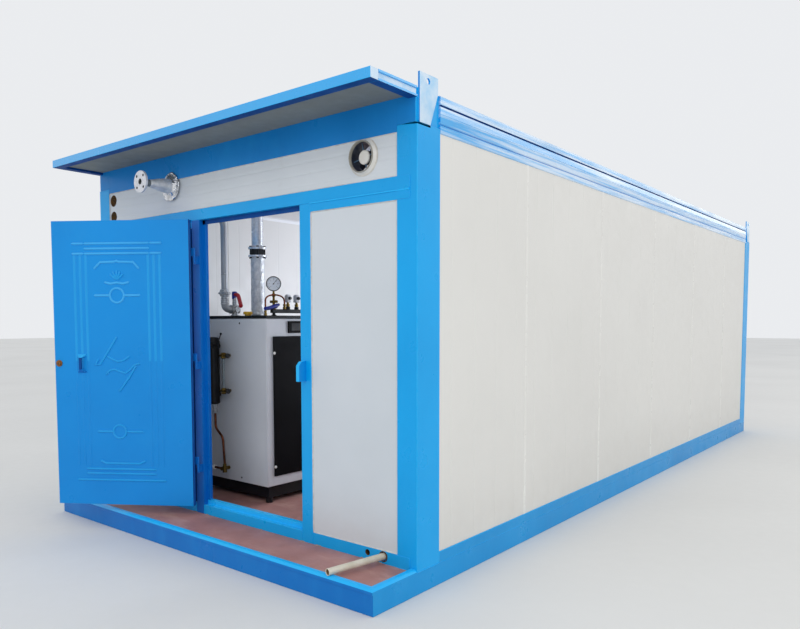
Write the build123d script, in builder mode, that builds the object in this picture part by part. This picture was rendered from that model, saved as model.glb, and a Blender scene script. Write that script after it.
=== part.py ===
from build123d import *
import os
from math import cos, radians, sin

os.makedirs("parts", exist_ok=True)

# A boiler house built as a steel-framed cabin. Millimetres.
# X runs across the front, Y from the porch to the rear, Z up from the ground.
# The origin is on the ground, in the middle of the base.

# Overall sizes
house_width = 3190
house_length = 7310
porch_depth = 370

# Base frame and floor
base_height = 123
side_beam_width = 100
front_beam_width = 40
lip_rise = 19
lip_depth = 31
lip_overhang = 6
bearer_width = 60
bearer_count = 7
deck_thickness = 18

# Corner posts, corner heads and lifting lugs
post_face = 138
post_side = 208
head_rise = 24
lug_thickness = 12
lug_setback = 21
lug_width = 165
lug_foot = 95
lug_rise = 82
lug_hole_radius = 16
lug_hole_back = 97
lug_hole_drop = 36

# Top rails, roof and ceiling
wall_height = 2309
rail_height = 202
front_rail_drop = 10
rail_thickness = 70
groove_drop = 48
groove_height = 8
groove_depth = 8
ceiling_rise = 4
ceiling_thickness = 20
roof_drop = 28
roof_thickness = 40
roof_bearer_width = 60
ribs_per_panel = 5
rib_foot = 75
rib_crown = 30
rib_rise = 22

# Sandwich panels
panel_pitch = 1225
panel_seam = 2
wall_thickness = 60
wall_inset = 6
track_height = 64
front_thickness = 50
front_inset = 8

# Canopy
canopy_depth = 54
canopy_border = 60
soffit_recess = 16
soffit_thickness = 30

# Doorway and the fixed parts of the front wall
frame_depth = 70
opening_left = -290
opening_right = 706
hinge_jamb_width = 90
lock_jamb_width = 91
transom_height = 231
header_height = 75
trim_height = 50
bottom_rail_height = 73
sill_height = 68
sill_step = 31
sill_step_depth = 30

# Door leaf, drawn in its open position
door_angle = 147
leaf_thickness = 50
leaf_stop_gap = 12
leaf_clearance = 5
leaf_swing_clearance = 7
hinge_offset = 12
hinge_face_gap = 4
knuckle_radius = 8
knuckle_height = 110
knuckle_gap = 1
hinge_plate = 5
strap_length = 55
low_hinge_rise = 284
high_hinge_drop = 245
pull_edge = 200
pull_rise = 994
pull_width = 55
pull_length = 130
pull_bar = 14
pull_reach = 38
lock_edge = 32
lock_radius = 20
lock_reach = 14
keeper_offset = 20
keeper_width = 26
keeper_reach = 58
keeper_drop = 70
keeper_height = 125

# Openings in the front wall
fan_side_gap = 242
fan_edge_gap = 1
fan_sleeve_radius = 95
fan_bore_radius = 82
fan_stand_off = 30
fan_sleeve_length = 120
fan_motor_radius = 40
fan_motor_start = 22
fan_motor_length = 48
fan_strut_width = 7
fan_strut_start = 30
fan_strut_depth = 8
fan_strut_turn = 12
fan_strut_count = 4
fan_shaft_radius = 6
fan_shaft_length = 15
fan_shaft_end_gap = 1
fan_running_gap = 6
fan_hub_radius = 32
fan_hub_length = 22
fan_blade_count = 5
fan_blade_width = 26
fan_blade_thickness = 3
fan_blade_pitch = 30
fan_tip_clearance = 6
weld_bite = 4
shaft_clearance = 0.05
seat_clearance = 0.3
cable_hole_side_gap = 53
upper_cable_hole_radius = 45
upper_cable_hole_drop = 60
lower_cable_hole_radius = 42
lower_cable_hole_rise = 47
rail_hole_spacing = 118
rail_hole_radius = 18
rail_hole_offset = 5.5

# Steam outlet over the door
outlet_x = -603
outlet_drop = 46
outlet_reach = 250
pipe_radius = 24
pipe_bore = 20
flange_radius = 75
flange_thickness = 16
flange_pcd = 110
flange_hole_radius = 9
flange_bolt_count = 4
flange_bolt_turn = 45
wall_pipe_clearance = 6
collar_radius = 92
collar_width = 34
collar_slope = 22
lagging_radius = 42
lagging_taper = 28
lagging_length = 165

# Drain pipe on the porch
drain_side_gap = 99
drain_radius = 19
drain_wall = 2.5
drain_hole_radius = 26
drain_shift = 80
drain_end_setback = 5
drain_inside = 40

# Boiler
boiler_right = -110
boiler_setback = 430
boiler_width = 950
boiler_depth = 1050
cabinet_height = 1246
top_plate_thickness = 22
plinth_inset = 45
foot_radius = 26
foot_height = 40
plinth_height = 94
panel_thickness = 12
panel_start = 62
panel_length = 640
panel_rise = 74
panel_drop = 132
display_start = 210
display_length = 230
display_height = 90
display_drop = 19

# Steam valve and riser
valve_back = 113
valve_height = 50
valve_radius = 34
valve_front = 44
valve_rear = 30
bonnet_radius = 20
bonnet_height = 92
stem_radius = 8
stem_height = 22
lever_hub_radius = 15
lever_hub_height = 30
lever_arm = 42
lever_reach = 84
lever_fall = 72
lever_width = 20
lever_thickness = 7
riser_back = 15
riser_elbow = 45
riser_bend = 190
nut_radius = 34
nut_height = 30
nut_rise = 110

# Vent riser
vent_back = 345
vent_lagging_radius = 55
vent_lagging_height = 475
vent_pipe_radius = 46
vent_flange_radius = 74
vent_flange_thickness = 16
vent_flange_gap = 10
vent_neck_radius = 30

# Gauge manifold, gauge and switches
manifold_x = -250
manifold_start = 175
manifold_length = 420
manifold_size = 30
manifold_rise = 20
manifold_leg_radius = 12
gauge_back = 25
gauge_height = 241
gauge_radius = 57
gauge_depth = 34
gauge_turn = -40
gauge_stem_radius = 9
gauge_pipe_radius = 5
gauge_pipe_span = 95
gauge_pipe_bend = 45
gauge_pipe_height = 135
switch_starts = [150, 240]
switch_width = 36
switch_height = 85
cap_x = -420
cap_back = 90
cap_radius = 34
cap_height = 32

# Water level column and sight glass on the boiler's door-side face
column_x = -660
column_radius = 50
column_gap = 12
column_height = 514
column_drop = 142
column_stub_radius = 16
column_stub_inset = 70
glass_x = -530
glass_radius = 9
glass_length = 269
glass_drop = 281
glass_valve_radius = 20
glass_valve_height = 46
glass_stub_radius = 11
drain_cock_x = -560
drain_cock_rise = 95
drain_cock_radius = 14
drain_cock_reach = 90

# Places worked out from the sizes above
half_width = house_width / 2
y_front = -(porch_depth + house_length) / 2
y_wall = y_front + porch_depth
y_rear = y_wall + house_length
post_inner = half_width - post_face
rail_inner = half_width - rail_thickness
front_post_back = y_wall + post_side
rear_post_front = y_rear - post_side
front_rail_back = y_wall + rail_thickness
rear_rail_front = y_rear - rail_thickness
porch_lip_top = base_height + lip_rise
wall_bottom = base_height + track_height
rail_bottom = wall_bottom + wall_height
rail_top = rail_bottom + rail_height
front_rail_bottom = rail_bottom - front_rail_drop
post_top = rail_bottom + head_rise
lug_top = rail_top + lug_rise
ceiling_bottom = rail_bottom + ceiling_rise
ceiling_top = ceiling_bottom + ceiling_thickness
roof_top = rail_top - roof_drop
roof_bottom = roof_top - roof_thickness
header_top = front_rail_bottom - transom_height
header_bottom = header_top - header_height
sill_top = base_height + sill_height
panel_face = y_wall + front_inset
panel_back = panel_face + front_thickness
frame_back = y_wall + frame_depth
hinge_jamb_left = opening_left - hinge_jamb_width
lock_jamb_right = opening_right + lock_jamb_width
front_panel_bottom = base_height + bottom_rail_height
front_panel_top = header_bottom - trim_height
fan_x = post_inner - fan_side_gap
fan_z = front_rail_bottom - fan_edge_gap - fan_sleeve_radius
outlet_z = front_rail_bottom - outlet_drop
cable_hole_x = cable_hole_side_gap - post_inner
cable_holes = [
    (front_rail_bottom - upper_cable_hole_drop, upper_cable_hole_radius),
    (header_top + lower_cable_hole_rise, lower_cable_hole_radius),
]
drain_x = post_inner - drain_side_gap
rail_hole_x = drain_x - rail_hole_spacing
rail_hole_z = base_height + bottom_rail_height / 2 + rail_hole_offset
leaf_bottom = sill_top + leaf_clearance
leaf_top = header_bottom - leaf_clearance
low_hinge = leaf_bottom + low_hinge_rise
high_hinge = leaf_top - high_hinge_drop
hinge_heights = [low_hinge, (low_hinge + high_hinge) / 2, high_hinge]
pull_height = leaf_bottom + pull_rise
keeper_bottom = pull_height - keeper_drop
hinge_x = opening_left - hinge_offset
hinge_y = y_wall + sill_step_depth - leaf_stop_gap - leaf_thickness - hinge_face_gap
leaf_start = hinge_offset + leaf_clearance
leaf_end = opening_right - leaf_swing_clearance - hinge_x
boiler_left = boiler_right - boiler_width
boiler_front = y_wall + boiler_setback
boiler_back = boiler_front + boiler_depth
boiler_bottom = base_height + foot_height + plinth_height
boiler_top_z = boiler_bottom + cabinet_height
boiler_lid = boiler_top_z + top_plate_thickness
ends = [("front", y_wall, 1), ("rear", y_rear, -1)]
corners = [(side, y_face, inward) for _, y_face, inward in ends for side in (-1, 1)]


def block(corner, opposite, mode=Mode.ADD):
    middle = tuple((a + b) / 2 for a, b in zip(corner, opposite))
    with Locations(middle):
        Box(*(abs(b - a) for a, b in zip(corner, opposite)), mode=mode)


def rod(plane, start, length, radius, mode=Mode.ADD):
    with Locations(plane.offset(start + length / 2).location):
        Cylinder(radius, length, mode=mode)


def along_y(x, y, z):
    return Plane(origin=(x, y, z), x_dir=(1, 0, 0), z_dir=(0, 1, 0))


def upright(x, y, z):
    return Plane(origin=(x, y, z))


def panel_spans(low, high):
    count = int((high - low) // panel_pitch)
    middle = (low + high) / 2
    seams = [middle + (i - (count - 1) / 2) * panel_pitch for i in range(count)]
    starts = [low] + [seam + panel_seam / 2 for seam in seams]
    ends = [seam - panel_seam / 2 for seam in seams] + [high]
    return list(zip(starts, ends))


def cut_corners(bottom, top):
    for side, y_face, inward in corners:
        block(
            (side * half_width, y_face, bottom),
            (side * post_inner, y_face + inward * post_side, top),
            mode=Mode.SUBTRACT,
        )


def keep(piece, name):
    piece.part.label = name
    export_step(piece.part, f"parts/{name}.step")


# Base frame: a porch beam with a raised lip, side and rear beams, and bearers under the floor
with BuildPart() as base_front_beam:
    with BuildSketch(Plane.YZ.offset(-half_width)):
        with BuildLine():
            Polyline(
                (y_front + lip_overhang, 0),
                (y_front + front_beam_width, 0),
                (y_front + front_beam_width, porch_lip_top),
                (y_front, porch_lip_top),
                (y_front, porch_lip_top - lip_depth),
                (y_front + lip_overhang, porch_lip_top - lip_depth),
                close=True,
            )
        make_face()
    extrude(amount=house_width)
keep(base_front_beam, "base_front_beam")

with BuildPart() as base_rear_beam:
    block((-half_width, y_rear - side_beam_width, 0), (half_width, y_rear, base_height))
keep(base_rear_beam, "base_rear_beam")

floor_front = y_front + front_beam_width
floor_rear = y_rear - side_beam_width
floor_edge = half_width - side_beam_width
deck_bottom = base_height - deck_thickness

with BuildPart() as base_side_beams:
    for side in (-1, 1):
        block((side * half_width, floor_front, 0), (side * floor_edge, floor_rear, base_height))
keep(base_side_beams, "base_side_beams")

with BuildPart() as porch_end_lips:
    for side in (-1, 1):
        block(
            (side * half_width, floor_front, base_height),
            (side * (half_width - front_beam_width), y_wall, porch_lip_top),
        )
keep(porch_end_lips, "porch_end_lips")

with BuildPart() as floor_bearers:
    with Locations((0, 0, deck_bottom / 2)):
        with GridLocations(0, (floor_rear - floor_front) / bearer_count, 1, bearer_count):
            Box(2 * floor_edge, bearer_width, deck_bottom)
keep(floor_bearers, "floor_bearers")

with BuildPart() as floor_deck:
    block((-floor_edge, floor_front, deck_bottom), (floor_edge, floor_rear, base_height))
keep(floor_deck, "floor_deck")

# Corner posts stand on the base; each carries a head with a lifting lug, tapered below the roof line
for end, y_face, inward in ends:
    with BuildPart() as posts:
        for side in (-1, 1):
            block(
                (side * half_width, y_face, base_height),
                (side * post_inner, y_face + inward * post_side, post_top),
            )
    keep(posts, f"{end}_posts")

with BuildPart() as corner_heads:
    lug_inner = half_width - lug_thickness
    for side, y_face, inward in corners:
        block(
            (side * post_inner, y_face, post_top),
            (side * lug_inner, y_face + inward * post_side, rail_top),
        )
        lug_near = y_face + inward * lug_setback
        lug_far = lug_near + inward * lug_width
        with BuildSketch(Plane.YZ.offset(side * half_width)):
            with BuildLine():
                Polyline(
                    (lug_near, post_top),
                    (lug_near, lug_top),
                    (lug_far, lug_top),
                    (lug_far, rail_top),
                    (lug_near + inward * lug_foot, post_top),
                    close=True,
                )
            make_face()
        extrude(amount=-side * lug_thickness)
        hole_middle = (
            side * (half_width - lug_thickness / 2),
            y_face + inward * lug_hole_back,
            lug_top - lug_hole_drop,
        )
        with Locations(Location(hole_middle, (0, 90, 0))):
            Cylinder(lug_hole_radius, 2 * lug_thickness, mode=Mode.SUBTRACT)
keep(corner_heads, "corner_heads")

# Top rails between the corner heads; the side rails have a rolled groove
with BuildPart() as side_top_rails:
    for side in (-1, 1):
        block(
            (side * half_width, front_post_back, rail_bottom),
            (side * rail_inner, rear_post_front, rail_top),
        )
        block(
            (side * half_width, front_post_back, rail_top - groove_drop),
            (side * (half_width - groove_depth), rear_post_front, rail_top - groove_drop - groove_height),
            mode=Mode.SUBTRACT,
        )
keep(side_top_rails, "side_top_rails")

with BuildPart() as end_top_rails:
    block((-post_inner, y_wall, front_rail_bottom), (post_inner, front_rail_back, rail_top))
    block((-post_inner, y_rear, rail_bottom), (post_inner, rear_rail_front, rail_top))
keep(end_top_rails, "end_top_rails")

# Side and rear walls: sandwich panels standing in a bottom track
with BuildPart() as wall_tracks:
    for side in (-1, 1):
        block(
            (side * half_width, front_post_back, base_height),
            (side * rail_inner, rear_post_front, wall_bottom),
        )
    block((-post_inner, y_rear, base_height), (post_inner, rear_rail_front, wall_bottom))
keep(wall_tracks, "wall_tracks")

wall_outer = half_width - wall_inset
for name, side in (("left_wall", -1), ("right_wall", 1)):
    with BuildPart() as side_wall:
        for start, end in panel_spans(front_post_back, rear_post_front):
            block(
                (side * wall_outer, start, wall_bottom),
                (side * (wall_outer - wall_thickness), end, rail_bottom),
            )
    keep(side_wall, name)

with BuildPart() as rear_wall:
    for start, end in panel_spans(-post_inner, post_inner):
        block(
            (start, y_rear - wall_inset, wall_bottom),
            (end, y_rear - wall_inset - wall_thickness, rail_bottom),
        )
keep(rear_wall, "rear_wall")

# Ceiling, roof bearers and roof panels, notched round the corner posts
with BuildPart() as ceiling:
    block((-rail_inner, front_rail_back, ceiling_bottom), (rail_inner, rear_rail_front, ceiling_top))
    cut_corners(ceiling_bottom, ceiling_top)
keep(ceiling, "ceiling")

roof_spans = panel_spans(front_rail_back, rear_rail_front)
with BuildPart() as roof_bearers:
    for start, _ in roof_spans[1:]:
        block(
            (-rail_inner, start - roof_bearer_width / 2, ceiling_top),
            (rail_inner, start + roof_bearer_width / 2, roof_bottom),
        )
keep(roof_bearers, "roof_bearers")

with BuildPart() as roof_panels:
    for start, end in roof_spans:
        block((-rail_inner, start, roof_bottom), (rail_inner, end, roof_top))
    cut_corners(roof_bottom, roof_top)
keep(roof_panels, "roof_panels")

# Rolled ribs across the roof panels, clear of the seams and the corner heads
rib_pitch = panel_pitch / ribs_per_panel
roof_seams = [start - panel_seam / 2 for start, _ in roof_spans[1:]]
rib_cells = [roof_seams[0] - panel_pitch, *roof_seams]
rib_lines = [cell + (i + 0.5) * rib_pitch for cell in rib_cells for i in range(ribs_per_panel)]
with BuildPart() as roof_ribs:
    with BuildSketch(Plane.YZ.offset(-rail_inner)):
        for rib_y in rib_lines:
            if front_post_back + rib_foot / 2 <= rib_y <= rear_post_front - rib_foot / 2:
                with BuildLine():
                    Polyline(
                        (rib_y - rib_foot / 2, roof_top),
                        (rib_y - rib_crown / 2, roof_top + rib_rise),
                        (rib_y + rib_crown / 2, roof_top + rib_rise),
                        (rib_y + rib_foot / 2, roof_top),
                        close=True,
                    )
                make_face()
    extrude(amount=2 * rail_inner)
keep(roof_ribs, "roof_ribs")

# Canopy over the porch: a blue border round a recessed soffit
canopy_bottom = rail_top - canopy_depth
soffit_edge = half_width - canopy_border
soffit_front = y_front + canopy_border
soffit_back = y_wall - canopy_border
with BuildPart() as canopy_frame:
    block((-half_width, y_front, canopy_bottom), (half_width, y_wall, rail_top))
    block(
        (-soffit_edge, soffit_front, canopy_bottom),
        (soffit_edge, soffit_back, rail_top),
        mode=Mode.SUBTRACT,
    )
keep(canopy_frame, "canopy_frame")

with BuildPart() as canopy_soffit:
    soffit_bottom = canopy_bottom + soffit_recess
    block(
        (-soffit_edge, soffit_front, soffit_bottom),
        (soffit_edge, soffit_back, soffit_bottom + soffit_thickness),
    )
keep(canopy_soffit, "canopy_soffit")

# Front wall: transom panel with its holes, header, jambs, sill and the fixed panels
outlet_axis = along_y(outlet_x, panel_face, outlet_z)
fan_axis = along_y(fan_x, y_wall - fan_stand_off, fan_z)
with BuildPart() as front_transom_panel:
    block((-post_inner, panel_face, header_top), (post_inner, panel_back, front_rail_bottom))
    rod(outlet_axis, 0, front_thickness, pipe_radius + wall_pipe_clearance, Mode.SUBTRACT)
    rod(fan_axis, 0, fan_sleeve_length, fan_sleeve_radius + seat_clearance, Mode.SUBTRACT)
    for hole_z, hole_radius in cable_holes:
        rod(along_y(cable_hole_x, panel_face, hole_z), 0, front_thickness, hole_radius, Mode.SUBTRACT)
keep(front_transom_panel, "front_transom_panel")

with BuildPart() as door_header:
    block((-post_inner, y_wall, header_bottom), (post_inner, frame_back, header_top))
keep(door_header, "door_header")

with BuildPart() as door_jambs:
    block((hinge_jamb_left, y_wall, base_height), (opening_left, frame_back, header_bottom))
    block((opening_right, y_wall, base_height), (lock_jamb_right, frame_back, header_bottom))
keep(door_jambs, "door_jambs")

with BuildPart() as door_sill:
    block((opening_left, y_wall, base_height), (opening_right, frame_back, sill_top))
    block(
        (opening_left, y_wall + sill_step_depth, sill_top),
        (opening_right, frame_back, sill_top + sill_step),
    )
keep(door_sill, "door_sill")

drain_hole_axis = along_y(drain_x, y_wall, rail_hole_z)
rail_hole_axis = along_y(rail_hole_x, y_wall, rail_hole_z)
with BuildPart() as front_bottom_rails:
    block((-post_inner, y_wall, base_height), (hinge_jamb_left, frame_back, front_panel_bottom))
    block((lock_jamb_right, y_wall, base_height), (post_inner, frame_back, front_panel_bottom))
    rod(drain_hole_axis, 0, frame_depth, drain_hole_radius, Mode.SUBTRACT)
    rod(rail_hole_axis, 0, frame_depth, rail_hole_radius, Mode.SUBTRACT)
keep(front_bottom_rails, "front_bottom_rails")

beside_door = [(-post_inner, hinge_jamb_left), (lock_jamb_right, post_inner)]
with BuildPart() as front_panels:
    for left, right in beside_door:
        block((left, panel_face, front_panel_bottom), (right, panel_back, front_panel_top))
keep(front_panels, "front_panels")

with BuildPart() as panel_head_trims:
    for left, right in beside_door:
        block((left, y_wall, front_panel_top), (right, frame_back, header_bottom))
keep(panel_head_trims, "panel_head_trims")

# Keeper box on the lock jamb, beside the doorway
with BuildPart() as door_keeper:
    keeper_left = opening_right + keeper_offset
    block(
        (keeper_left, y_wall - keeper_reach, keeper_bottom),
        (keeper_left + keeper_width, y_wall, keeper_bottom + keeper_height),
    )
keep(door_keeper, "door_keeper")

# Door leaf: it closes into the frame, short of the sill's step, and is drawn swung open
open_turn = radians(-door_angle)
leaf_plane = Plane(
    origin=(hinge_x, hinge_y, 0),
    x_dir=(cos(open_turn), sin(open_turn), 0),
    z_dir=(0, 0, 1),
)
leaf_outer = hinge_face_gap
leaf_inner = hinge_face_gap + leaf_thickness
half_knuckle = knuckle_height / 2

with BuildPart(leaf_plane) as door_leaf:
    block((leaf_start, leaf_outer, leaf_bottom), (leaf_end, leaf_inner, leaf_top))
keep(door_leaf, "door_leaf")

# Each hinge: the lower half knuckle with its pin is on the jamb, the upper half on the leaf
pin_radius = knuckle_radius / 2
with BuildPart() as frame_hinges:
    for height in hinge_heights:
        axis = upright(hinge_x, hinge_y, height)
        rod(axis, -half_knuckle, half_knuckle, knuckle_radius)
        rod(axis, 0, half_knuckle, pin_radius)
        block(
            (hinge_x - hinge_plate, hinge_y, height - half_knuckle),
            (hinge_x, y_wall, height),
        )
keep(frame_hinges, "frame_hinges")

with BuildPart(leaf_plane) as leaf_hinges:
    for height in hinge_heights:
        low = height + knuckle_gap
        high = height + half_knuckle
        with Locations((0, 0, (low + high) / 2)):
            Cylinder(knuckle_radius, high - low)
        block((0, leaf_outer - hinge_plate, low), (strap_length, leaf_outer, high))
        with Locations((0, 0, (low + high) / 2)):
            Cylinder(pin_radius + shaft_clearance, high - low, mode=Mode.SUBTRACT)
keep(leaf_hinges, "leaf_hinges")

with BuildPart(leaf_plane) as door_pull:
    pull_x = leaf_end - pull_edge
    grip_front = leaf_inner + pull_reach
    for end in (-1, 1):
        foot_z = pull_height + end * (pull_length - pull_bar) / 2
        block(
            (pull_x - pull_width / 2, leaf_inner, foot_z - pull_bar / 2),
            (pull_x + pull_width / 2, leaf_inner + pull_bar, foot_z + pull_bar / 2),
        )
        block(
            (pull_x - pull_bar / 2, leaf_inner + pull_bar, foot_z - pull_bar / 2),
            (pull_x + pull_bar / 2, grip_front, foot_z + pull_bar / 2),
        )
    block(
        (pull_x - pull_bar / 2, grip_front - pull_bar, pull_height - pull_length / 2),
        (pull_x + pull_bar / 2, grip_front, pull_height + pull_length / 2),
    )
keep(door_pull, "door_pull")

with BuildPart(leaf_plane) as door_lock:
    with Locations(Location((leaf_end - lock_edge, leaf_inner + lock_reach / 2, pull_height), (90, 0, 0))):
        Cylinder(lock_radius, lock_reach)
keep(door_lock, "door_lock")

# Wall fan: sleeve, motor on four struts, and a rotor on the motor's shaft
motor_back = fan_motor_start + fan_motor_length
strut_length = fan_bore_radius - fan_motor_radius + 2 * weld_bite
with BuildPart() as fan_housing:
    rod(fan_axis, 0, fan_sleeve_length, fan_sleeve_radius)
    rod(fan_axis, 0, fan_sleeve_length, fan_bore_radius, Mode.SUBTRACT)
    with BuildSketch(fan_axis.offset(fan_strut_start)):
        with PolarLocations((fan_motor_radius + fan_bore_radius) / 2, fan_strut_count, fan_strut_turn):
            Rectangle(strut_length, fan_strut_width)
    extrude(amount=fan_strut_depth)
    rod(fan_axis, fan_motor_start, fan_motor_length, fan_motor_radius)
    rod(
        fan_axis,
        motor_back - fan_shaft_length,
        fan_shaft_length,
        fan_shaft_radius + shaft_clearance,
        Mode.SUBTRACT,
    )
keep(fan_housing, "fan_housing")

rotor_start = motor_back + fan_running_gap
blade_tip = fan_bore_radius - fan_tip_clearance
blade_root = fan_hub_radius - weld_bite
with BuildPart() as fan_rotor:
    rod(fan_axis, rotor_start, fan_hub_length, fan_hub_radius)
    with Locations(fan_axis.offset(rotor_start + fan_hub_length / 2).location):
        with PolarLocations((blade_tip + blade_root) / 2, fan_blade_count):
            Box(
                blade_tip - blade_root,
                fan_blade_width,
                fan_blade_thickness,
                rotation=(fan_blade_pitch, 0, 0),
            )
    shaft_start = motor_back - fan_shaft_length + fan_shaft_end_gap
    rod(fan_axis, shaft_start, rotor_start - shaft_start, fan_shaft_radius)
keep(fan_rotor, "fan_rotor")

# Steam outlet: a flanged stub through the transom panel, lagged at the wall
stub_axis = along_y(outlet_x, y_wall - outlet_reach, outlet_z)
stub_end = outlet_reach + front_inset + front_thickness
with BuildPart() as steam_outlet:
    with BuildSketch(stub_axis):
        Circle(flange_radius)
        with PolarLocations(flange_pcd / 2, flange_bolt_count, flange_bolt_turn):
            Circle(flange_hole_radius, mode=Mode.SUBTRACT)
    extrude(amount=flange_thickness)
    rod(stub_axis, flange_thickness, stub_end - flange_thickness, pipe_radius)
    rod(stub_axis, 0, stub_end, pipe_bore, Mode.SUBTRACT)
keep(steam_outlet, "steam_outlet")

with BuildPart() as outlet_lagging:
    inner = outlet_z + pipe_radius + seat_clearance
    with BuildSketch(Plane.YZ.offset(outlet_x)):
        with BuildLine():
            Polyline(
                (panel_face, inner),
                (panel_face, outlet_z + lagging_radius),
                (y_wall, outlet_z + lagging_radius),
                (y_wall, outlet_z + collar_radius),
                (y_wall - collar_width, outlet_z + collar_radius),
                (y_wall - collar_width - collar_slope, outlet_z + lagging_radius),
                (y_wall - lagging_length, outlet_z + lagging_taper),
                (y_wall - lagging_length, inner),
                close=True,
            )
        make_face()
    revolve(axis=Axis((outlet_x, 0, outlet_z), (0, 1, 0)))
keep(outlet_lagging, "outlet_lagging")

# Drain pipe: out through the bottom rail, its open end resting on the porch lip
drain_end = Vector(
    drain_x - drain_shift,
    y_front + drain_end_setback,
    porch_lip_top + drain_radius + seat_clearance,
)
drain_line = Vector(drain_x, y_wall + drain_inside / 2, rail_hole_z) - drain_end
with BuildPart() as drain_pipe:
    with BuildSketch(Plane(origin=drain_end, z_dir=drain_line)):
        Circle(drain_radius)
        Circle(drain_radius - drain_wall, mode=Mode.SUBTRACT)
    extrude(amount=drain_line.length + drain_inside / 2)
keep(drain_pipe, "drain_pipe")

# Boiler: plinth on feet, sheet-steel cabinet, top plate and control panel
with BuildPart() as boiler_plinth:
    frame_bottom = base_height + foot_height
    block(
        (boiler_left + plinth_inset, boiler_front + plinth_inset, frame_bottom),
        (boiler_right - plinth_inset, boiler_back - plinth_inset, boiler_bottom),
    )
    foot_span_x = boiler_width - 2 * plinth_inset - 2 * foot_radius
    foot_span_y = boiler_depth - 2 * plinth_inset - 2 * foot_radius
    middle = ((boiler_left + boiler_right) / 2, (boiler_front + boiler_back) / 2)
    with Locations((*middle, base_height + foot_height / 2)):
        with GridLocations(foot_span_x, foot_span_y, 2, 2):
            Cylinder(foot_radius, foot_height)
keep(boiler_plinth, "boiler_plinth")

with BuildPart() as boiler_cabinet:
    block((boiler_left, boiler_front, boiler_bottom), (boiler_right, boiler_back, boiler_top_z))
keep(boiler_cabinet, "boiler_cabinet")

with BuildPart() as boiler_top:
    block((boiler_left, boiler_front, boiler_top_z), (boiler_right, boiler_back, boiler_lid))
keep(boiler_top, "boiler_top")

with BuildPart() as boiler_control_panel:
    panel_y = boiler_front + panel_start
    display_y = boiler_front + display_start
    panel_outer = boiler_right + panel_thickness
    display_top = boiler_top_z - display_drop
    block(
        (boiler_right, panel_y, boiler_bottom + panel_rise),
        (panel_outer, panel_y + panel_length, boiler_top_z - panel_drop),
    )
    block(
        (boiler_right, display_y, display_top - display_height),
        (panel_outer, display_y + display_length, display_top),
    )
keep(boiler_control_panel, "boiler_control_panel")

# Steam valve on the boiler top, with a quarter-turn lever on its stem
valve_y = boiler_front + valve_back
valve_z = boiler_lid + valve_height
valve_foot = upright(outlet_x, valve_y, boiler_lid)
with BuildPart() as steam_valve:
    rod(valve_foot, 0, valve_height, pipe_radius)
    rod(along_y(outlet_x, valve_y, valve_z), -valve_front, valve_front + valve_rear, valve_radius)
    rod(valve_foot, valve_height, bonnet_height - valve_height, bonnet_radius)
    rod(valve_foot, bonnet_height, stem_height, stem_radius)
keep(steam_valve, "steam_valve")

with BuildPart() as steam_valve_lever:
    hub_bottom = bonnet_height + knuckle_gap
    rod(valve_foot, hub_bottom, lever_hub_height, lever_hub_radius)
    lever_top = boiler_lid + hub_bottom + lever_hub_height
    with BuildSketch(Plane.XZ.offset(-valve_y)):
        with BuildLine():
            Polyline(
                (outlet_x, lever_top),
                (outlet_x + lever_arm, lever_top),
                (outlet_x + lever_reach, lever_top - lever_fall),
                (outlet_x + lever_reach - lever_thickness, lever_top - lever_fall - lever_thickness / 2),
                (outlet_x + lever_arm - lever_thickness / 2, lever_top - lever_thickness),
                (outlet_x, lever_top - lever_thickness),
                close=True,
            )
        make_face()
    extrude(amount=lever_width / 2, both=True)
    rod(valve_foot, hub_bottom, stem_height, stem_radius + shaft_clearance, Mode.SUBTRACT)
keep(steam_valve_lever, "steam_valve_lever")

# Riser: an elbow from the valve, up the room, and a bend forward to the outlet stub
riser_y = boiler_front + riser_back
with BuildPart() as steam_riser:
    with BuildLine() as riser_path:
        FilletPolyline(
            (outlet_x, valve_y - valve_front, valve_z),
            (outlet_x, riser_y, valve_z),
            (outlet_x, riser_y, outlet_z),
            (outlet_x, panel_back, outlet_z),
            radius=[riser_elbow, riser_bend],
        )
    with BuildSketch(Plane(origin=riser_path.line @ 0, z_dir=riser_path.line % 0)):
        Circle(pipe_radius)
    sweep()
    with BuildSketch(upright(outlet_x, riser_y, boiler_lid + nut_rise)):
        RegularPolygon(nut_radius, 6)
    extrude(amount=nut_height)
keep(steam_riser, "steam_riser")

# Vent riser: a lagged lower pipe, a flange pair and a plain pipe up to the ceiling
vent_axis = upright(outlet_x, boiler_front + vent_back, boiler_lid)
with BuildPart() as vent_lagging:
    rod(vent_axis, 0, vent_lagging_height, vent_lagging_radius)
keep(vent_lagging, "vent_lagging")

with BuildPart() as vent_pipe:
    upper_flange = vent_lagging_height + vent_flange_thickness + vent_flange_gap
    vent_pipe_start = upper_flange + vent_flange_thickness
    rod(vent_axis, vent_lagging_height, vent_flange_thickness, vent_flange_radius)
    rod(vent_axis, upper_flange - vent_flange_gap, vent_flange_gap, vent_neck_radius)
    rod(vent_axis, upper_flange, vent_flange_thickness, vent_flange_radius)
    rod(vent_axis, vent_pipe_start, ceiling_bottom - boiler_lid - vent_pipe_start, vent_pipe_radius)
keep(vent_pipe, "vent_pipe")

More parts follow.
